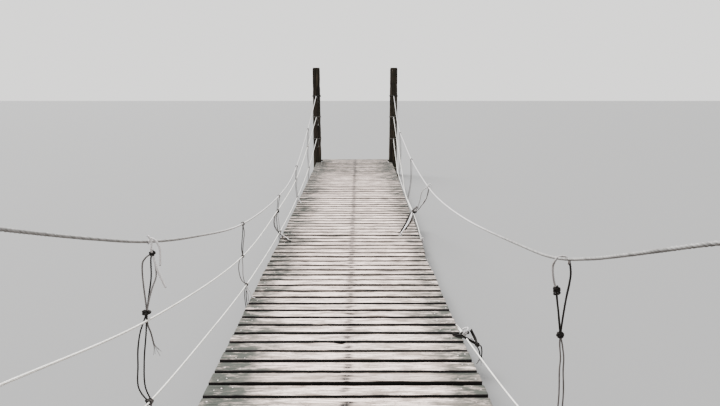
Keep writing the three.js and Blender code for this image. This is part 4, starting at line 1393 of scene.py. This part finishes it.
def pair(shape, points, gaps, tones):
    """Two strands side by side, a given gap apart at each point."""
    for side, tone in zip((-1, 1), tones):
        strand(shape, tone, [placed(point) + (side * gap, 0, 0) for point, gap in zip(points, gaps)])


def bearer_loop(shape, side, number, tone=0.0):
    """Turns of rope round a bearer's end; gives the place where the strands leave its top."""
    low, high = bearers[number - 1]
    inset = LOOP_INSETS[number - 1]
    x = high.x - inset if side > 0 else low.x + inset
    centre = (x, (low.y + high.y) / 2, (low.z + high.z) / 2)
    sizes = ((high.y - low.y) / 2 - LOOP_SINK, (high.z - low.z) / 2 - LOOP_SINK)
    lay_turns(shape, timber_turns(centre, *sizes, STRAND_RADIUS, LOOP_TURNS), STRAND_RADIUS, tone)
    return np.array([x, centre[1], high.z + STRAND_RADIUS])


def hold(shape, name, y, turns=3, tone=0.0):
    """Turns of hanger rope round one of the long ropes; gives the middle of the turns."""
    centre, direction = on_rope(name, y)
    coil(shape, centre, direction, ROUTES[name][0], turns, HOLD_ANGLE, tone)
    return centre


def bind(shape, y, turns, start, tone):
    """Turns of hanger rope round both of the right side's gathered ropes; gives the middle of the turns."""
    middle, direction = on_rope("right_mid_rope", y)
    centre = (middle + on_rope("right_low_rope", y)[0]) / 2
    coil(shape, centre, direction, SIDE_RADIUS * 2, turns, start, tone, loose=0.03)
    return centre


def left_hanger_1(shape):
    """The near left hanger: a loop and loose pale ends above, two dark knots and strands below."""
    top = on_rope("left_hand_rope", 1.10)[0]
    low = hold(shape, "left_low_rope", 1.04, 3, DIM)
    loop = bearer_loop(shape, -1, 1)
    first = above(-0.750, 1.10, 0.853)
    second = above(-0.794, 1.113, 0.600)
    ring = [(-0.757, 0.929), (-0.749, 0.921), (-0.744, 0.907), (-0.744, 0.890), (-0.747, 0.874)]
    loose = [(-0.752, 0.912), (-0.733, 0.899), (-0.722, 0.873), (-0.721, 0.846), (-0.724, 0.800)]
    strands(
        shape,
        (WHITE, 1.080, [*ring, first]),
        (WHITE, 1.105, [top + (0.004, 0.006, -0.010), *loose]),
        (WHITE, 1.100, [first, (-0.747, 0.834), (-0.735, 0.786), (-0.707, 0.710)]),
        thick=True,
    )
    lump(shape, first, 0.014, 0.4, DARK)
    bowed = [(-0.776, 0.836), (-0.792, 0.815), (-0.797, 0.780), (-0.796, 0.713), (-0.792, 0.640)]
    strands(
        shape,
        (0.15, 1.106, [first, *bowed, second]),
        (PALER, 1.106, [first, (-0.746, 0.821), (-0.743, 0.759), (-0.762, 0.708), (-0.776, 0.665), second]),
        (DARK, 1.110, [first, (-0.760, 0.833), (-0.765, 0.750), (-0.779, 0.675), second]),
    )
    coil(shape, second, (0, 0, 1), 0.009, 1.4, 0.0, DARK, THICK_RADIUS)
    lump(shape, second, 0.0125, 0.2, DARK)
    outer = [second, (-0.812, 0.555), (-0.827, 0.513), (-0.841, 0.441), (-0.846, 0.370)]
    outer += [(-0.838, 1.08, 0.293), (-0.800, 1.045, 0.262), low + (-0.006, 0, 0.006)]
    inner = [second, (-0.796, 0.565), (-0.801, 0.513), (-0.817, 0.392), (-0.806, 1.07, 0.300)]
    strands(shape, (DARK, 1.113, outer), (DARK, 1.108, [*inner, low + (0.004, 0, 0.008)]))
    strand(shape, DIM, [second, (-0.791, 0.547), (-0.782, 0.518), (-0.772, 0.462)], 1.108, frayed=True)
    knot(shape, low + (-0.004, -0.004, 0.004), 0.0165, 1.0, 0.7, DARK)
    pair(shape, [low, (-0.845, 1.09, 0.06), loop], [0.008, 0.007, 0.006], (DARK, DIM))


def left_hanger_2(shape):
    """The second left hanger: two strands that bow apart, a knot at the low rope and loose pale ends."""
    y = bearer_places[1]
    top = hold(shape, "left_hand_rope", y, 2.4, DIM)
    middle = hold(shape, "left_mid_rope", y, 2.4)
    low = hold(shape, "left_low_rope", y, 2.4, DIM)
    loop = bearer_loop(shape, -1, 2)
    strands(
        shape,
        (GREY, y, [top, (-0.762, 0.446), (-0.768, 0.399), (-0.776, 0.338), middle]),
        (DARK, y, [top, (-0.774, 0.446), (-0.782, 0.380), (-0.786, 0.330), middle]),
        (GREY, y, [middle, (-0.796, 0.262), (-0.812, 0.205), (-0.811, 0.151), (-0.794, 0.090), low]),
        (0.35, y, [middle, (-0.783, 0.262), (-0.782, 0.200), (-0.783, 0.124), (-0.773, 0.076), low]),
    )
    lump(shape, low + (-0.003, -0.006, 0.000), 0.0115, 0.5, DARK, STRAND_RADIUS)
    pair(shape, [low, (-0.772, y, -0.02), loop], [0.006, 0.006, 0.006], (DIM, DARK))
    edge = [on_deck(-0.722, y - 0.012, 0.004), on_deck(-0.697, y - 0.024, -0.001)]
    strands(
        shape,
        (WHITE, y - 0.012, [low, (-0.751, 0.032), (-0.735, 0.010), *edge]),
        (LILAC, y - 0.012, [low, (-0.758, 0.019), (-0.750, -0.017), (-0.748, -0.066)]),
    )


def left_hanger_3(shape):
    """The third left hanger: slack strands to a knot at the deck's edge and two ends on the boards."""
    y = bearer_places[2]
    top = hold(shape, "left_hand_rope", y + 0.06, 3)
    middle = hold(shape, "left_mid_rope", y, 4, DIM)
    hold(shape, "left_low_rope", y, 4, DIM)
    loop = bearer_loop(shape, -1, 3)
    tied = above(-0.767, y - 0.006, -0.036)
    lump(shape, middle + (0.002, -0.008, -0.010), 0.018, 1.0, DARK)
    pair(shape, [top, (top + middle) / 2 + (-0.002, 0, 0), middle], [0.010, 0.006, 0.007], (DIM, 0.0))
    bowed = [(-0.803, 0.165), (-0.815, 0.115), (-0.816, 0.050), (-0.797, 0.002)]
    for shift, tone in ((-0.005, DARK), (0.004, LILAC)):
        strand(shape, tone, [middle, *((x + shift, height) for x, height in bowed), tied], y, True)
    strands(
        shape,
        (DIM, y - 0.004, [middle, (-0.794, 0.136), (-0.791, 0.083), (-0.783, 0.000), tied]),
        (LILAC, y - 0.008, [middle, (-0.776, 0.136), (-0.766, 0.050), (-0.761, 0.004), tied]),
        thick=True,
    )
    lump(shape, tied, 0.0150, 0.2, DARK)
    pair(shape, [tied, (-0.768, y, -0.09), loop], [0.006, 0.006, 0.006], (DIM, DARK))
    dark_end = ((-0.735, 4.870, 0.006), (-0.706, 4.750), (-0.664, 4.695), (-0.618, 4.652))
    strand(shape, DARK, [tied, *(on_deck(*place) for place in dark_end)], thick=True)
    pale_end = ((-0.729, 4.873, 0.010), (-0.684, 4.797, 0.003), (-0.641, 4.712))
    start = tied + (0.006, 0, 0.004)
    strand(shape, WHITE, [start, *(on_deck(*place) for place in pale_end)], frayed=True)


def plain_hanger(shape, side, number, ropes, bows, tail):
    """A straight hanger: a pair of strands held at each rope, down to the bearer's end."""
    y = bearer_places[number - 1]
    stops = [hold(shape, rope_name, y, 3, DIM) for rope_name in ropes]
    loop = bearer_loop(shape, side, number)
    knot(shape, stops[0] + (0.0, -0.008, -0.015), 0.014, 1.1, 0.6, DIM)
    points = []
    gaps = []
    for first, second, bow in zip(stops, stops[1:] + [loop], bows):
        points += [first, (first + second) / 2 + (bow, 0, 0)]
        gaps += [0.009, 0.006]
    pair(shape, points + [loop], gaps + [0.006], (DIM, 0.2))
    if tail:
        strand(shape, LILAC, [stops[-1] + (0.004, -0.006, 0), *tail])


def right_hanger_1(shape):
    """The near right hanger: a thick pale loop over the hand rope, two dark knots and a pair of strands."""
    loop = bearer_loop(shape, 1, 1)
    first = above(0.818, 1.00, 0.738)
    second = above(0.864, 1.055, 0.527)
    over = [(0.862, 1.01, 0.835), (0.841, 0.868), (0.834, 0.876), (0.817, 0.880), (0.801, 0.876)]
    over += [(0.791, 0.861), (0.795, 0.99, 0.832), (0.797, 0.99, 0.803), (0.806, 0.995, 0.765), first]
    down = [(0.850, 0.98, 0.862), (0.861, 1.00, 0.846), (0.868, 1.00, 0.801), (0.869, 1.01, 0.757)]
    strands(
        shape,
        (0.45, 0.96, over),
        (DARK, 1.045, [*down, (0.874, 0.688), (0.866, 0.606), second]),
        (DARK, 1.035, [first, (0.834, 0.688), (0.843, 0.634), (0.851, 0.578), second]),
        thick=True,
    )
    lump(shape, first, 0.0155, 0.3, DARK)
    coil(shape, first + (0.002, 0, -0.012), (0.1, 0, -1), 0.005, 1.6, 0.0, DARK, THICK_RADIUS)
    lump(shape, second, 0.0165, 0.9, DARK)
    inner = [(0.870, 0.480), (0.877, 0.420), (0.876, 0.372), (0.881, 0.250)]
    outer = [(0.880, 0.480), (0.890, 0.420), (0.891, 0.372), (0.899, 0.250)]
    strands(
        shape,
        (GREY, 1.07, [second, *inner, loop + (-0.006, 0, 0)]),
        (0.0, 1.07, [second, *outer, loop + (0.006, 0, 0)]),
    )


def right_hanger_2_stub(shape):
    """What is left of the broken hanger: a knot round both side ropes, and ends to either side."""
    bind(shape, 2.39, 4, 0.3, DARK)
    lump(shape, above(0.736, 2.370, -0.036), 0.0155, 0.4, LILAC)
    lump(shape, above(0.752, 2.372, -0.036), 0.0115, 1.1, DARK, STRAND_RADIUS)
    up_and_over = [(0.745, 2.375, -0.030), (0.757, 2.390, -0.012), (0.740, 2.398, -0.014)]
    strand(shape, WHITE, [*up_and_over, (0.722, 2.396, -0.026)], thick=True)
    on_boards = ((0.648, 2.330), (0.677, 2.303), (0.706, 2.292))
    off_edge = ((0.736, 2.298, 0.048), (0.762, 2.300, 0.064), (0.786, 2.295, 0.076))
    for shift, rise in ((-0.0052, 0.0), (0.0052, 0.0), (0.0, 0.009)):
        band = [on_deck(x, y + shift, rise) for x, y in on_boards]
        band += [(x, y + shift, rise - drop) for x, y, drop in off_edge]
        strand(shape, DARK, band, thick=True)
    free = ((0.770, 2.372, -0.016), (0.783, 2.368, -0.042), (0.793, 2.340, -0.060), (0.796, 2.300, -0.078))
    for shift, nearer in ((-0.0038, 0.0), (0.0038, 0.0), (0.0, 0.008)):
        strand(shape, DARK, [above(*point) + (shift, -nearer, shift) for point in free], thick=True)
    lump(shape, above(0.797, 2.285, -0.078), 0.0165, 0.9, DARK)
    outer = [(0.797, 2.285, -0.078), (0.813, 2.250, -0.072), (0.815, 2.230, -0.103), (0.810, 2.225, -0.140)]
    inner = [(0.792, 2.285, -0.082), (0.792, 2.255, -0.080), (0.800, 2.240, -0.095), (0.806, 2.240, -0.125)]
    strand(shape, DARK, outer, thick=True, frayed=True)
    strand(shape, DARK, inner, thick=True, frayed=True)
    strand(shape, LILAC, [(0.762, 2.325, -0.048), (0.775, 2.322, -0.058), (0.788, 2.312, -0.070)])


# The knots of the third right hanger: place and height, half width, turn and tone
THIRD_KNOTS = (
    ((0.728, 5.955, -0.014), 0.019, 0.2, DIM),
    ((0.752, 5.950, 0.008), 0.024, 1.1, GREY),
    ((0.773, 5.950, 0.026), 0.020, 0.6, DIM),
    ((0.733, 5.925, -0.034), 0.020, 1.4, DARK),
    ((0.755, 5.935, -0.024), 0.018, 0.9, DARK),
)
# Its ends on the boards, side by side: where they end, how far apart they lie, and tone
THIRD_ENDS = (
    (0.500, 4.99, -0.024, DARK),
    (0.506, 4.97, -0.013, DARK),
    (0.500, 4.90, -0.002, WHITE),
    (0.512, 4.97, 0.009, WHITE),
    (0.560, 5.10, 0.026, DARK),
)


def right_hanger_3(shape):
    """The third right hanger: slants to a knot at the deck's edge and goes back to its bearer."""
    top = hold(shape, "right_hand_rope", 5.05, 3, LILAC)
    centre = bind(shape, 5.97, 5, 0.0, DIM)
    for place, size, turn, tone in THIRD_KNOTS:
        lump(shape, above(*place), size, turn, tone)
    loop = bearer_loop(shape, 1, 3, LILAC)
    arrive = centre + (0.010, 0, 0.010)
    ring = [(0.792, 0.458), (0.822, 0.466), (0.836, 0.446), (0.829, 0.420), (0.808, 0.412)]
    outer = [(0.811, 5.18, 0.330), (0.800, 5.45, 0.200), (0.775, 5.78, 0.040)]
    middle = [(0.803, 5.25, 0.270), (0.783, 5.55, 0.130), (0.760, 5.80, 0.020)]
    inner = [(0.788, 5.18, 0.400), (0.768, 5.38, 0.325), (0.772, 5.60, 0.190), (0.762, 5.82, 0.045)]
    strands(
        shape,
        (WHITE, 5.05, [top + (0.010, 0, 0), *outer, arrive]),
        (WHITE, 5.05, [top + (0, 0, 0.008), *ring, top + (0, 0, -0.010)]),
        (GREY, 5.05, [top + (0.004, 0, -0.008), *middle, arrive]),
        (LILAC, 5.05, [top, *inner, arrive]),
        thick=True,
    )
    for shift in (-0.005, 0.005):
        back = [(0.728 + shift, 5.75, -0.078), (0.722 + shift, 5.30, -0.122), (0.710 + shift, 5.03, -0.146)]
        strand(shape, DARK, [centre + (0.008, 0, -0.012), *back, loop + (shift, 0, 0)])
    blob = above(0.733, 4.955, -0.115)
    lump(shape, blob + (0.002, 0, 0.010), 0.020, 0.5, WHITE)
    lump(shape, blob + (0.006, -0.004, -0.018), 0.018, 1.3, WHITE)
    strand(shape, WHITE, [blob, (0.728, 4.965, -0.080), (0.718, 4.985, -0.066)])
    strand(shape, WHITE, [blob, (0.738, 4.94, -0.145), (0.739, 4.93, -0.175)], frayed=True)
    for end_x, end_y, apart, tone in THIRD_ENDS:
        route = [on_deck(0.688 + apart, 5.80, 0.004), on_deck(0.608 + apart, 5.38), on_deck(end_x, end_y)]
        strand(shape, tone, [centre + (-0.006, 0, 0.010), *route], thick=True, frayed=True)


LEFT_ROPES = ("left_hand_rope", "left_mid_rope", "left_low_rope")
RIGHT_ROPES = ("right_hand_rope",)
FOURTH_TAIL = (above(-0.752, 6.80, -0.03), on_deck(-0.718, 6.72, 0.002), on_deck(-0.690, 6.56))
# Each hanger, with what makes it and what that is given: side, bearer, ropes, bows between them and tail
HANGERS = {
    "left_hanger_1": (left_hanger_1,),
    "left_hanger_2": (left_hanger_2,),
    "left_hanger_3": (left_hanger_3,),
    "left_hanger_4": (plain_hanger, -1, 4, LEFT_ROPES, (-0.005, -0.008, 0.0), FOURTH_TAIL),
    "left_hanger_5": (plain_hanger, -1, 5, LEFT_ROPES, (0.004, -0.006, 0.0), ()),
    "right_hanger_1": (right_hanger_1,),
    "right_hanger_2_stub": (right_hanger_2_stub,),
    "right_hanger_3": (right_hanger_3,),
    "right_hanger_4": (plain_hanger, 1, 4, RIGHT_ROPES, (0.026,), ()),
    "right_hanger_5": (plain_hanger, 1, 5, RIGHT_ROPES, (0.026,), ()),
}
for name, (make, *given) in HANGERS.items():
    hanger = Shape()
    make(hanger, *given)
    hanger.build(name + "_knots", [hanger_rope], "hanger_rope", name)

# Floor, light and camera
FLOOR_REACH = 60.0
FLOOR_GREY = (0.17, 0.17, 0.17, 1)
FLOOR_ROUGHNESS = 0.9
LIGHT_POWER = 10.0
LIGHT_SPREAD = math.radians(35)
LIGHT_TURN = (math.radians(-28), math.radians(-24), 0)
SURROUND = (1.0, 0.99, 0.97, 1)
SURROUND_STRENGTH = 1.6


def make_stage():
    """A plain pale floor, a broad soft light and a pale surround."""
    mesh = bpy.data.meshes.new("floor")
    corners = [(x * FLOOR_REACH, y * FLOOR_REACH, 0) for x, y in ((-1, -1), (1, -1), (1, 1), (-1, 1))]
    mesh.from_pydata(corners, [], [(0, 1, 2, 3)])
    floor = bpy.data.objects.new("floor", mesh)
    bpy.context.scene.collection.objects.link(floor)
    material = bpy.data.materials.new("floor_paint")
    material.use_nodes = True
    shader = material.node_tree.nodes["Principled BSDF"]
    shader.inputs["Base Color"].default_value = FLOOR_GREY
    shader.inputs["Roughness"].default_value = FLOOR_ROUGHNESS
    mesh.materials.append(material)
    light = bpy.data.lights.new("broad_light", "SUN")
    light.energy = LIGHT_POWER
    light.angle = LIGHT_SPREAD
    lamp = bpy.data.objects.new("broad_light", light)
    lamp.rotation_euler = LIGHT_TURN
    bpy.context.scene.collection.objects.link(lamp)
    world = bpy.data.worlds.new("surround")
    world.use_nodes = True
    backdrop = world.node_tree.nodes["Background"]
    backdrop.inputs["Color"].default_value = SURROUND
    backdrop.inputs["Strength"].default_value = SURROUND_STRENGTH
    bpy.context.scene.world = world


def make_camera():
    """The photograph's point of view."""
    camera = bpy.data.cameras.new("view")
    camera.lens = LENS
    camera.sensor_width = SENSOR
    holder = bpy.data.objects.new("view", camera)
    holder.location = EYE
    holder.rotation_euler = (math.pi / 2 - EYE_PITCH, 0, -EYE_YAW)
    bpy.context.scene.collection.objects.link(holder)
    bpy.context.scene.camera = holder


make_stage()
make_camera()
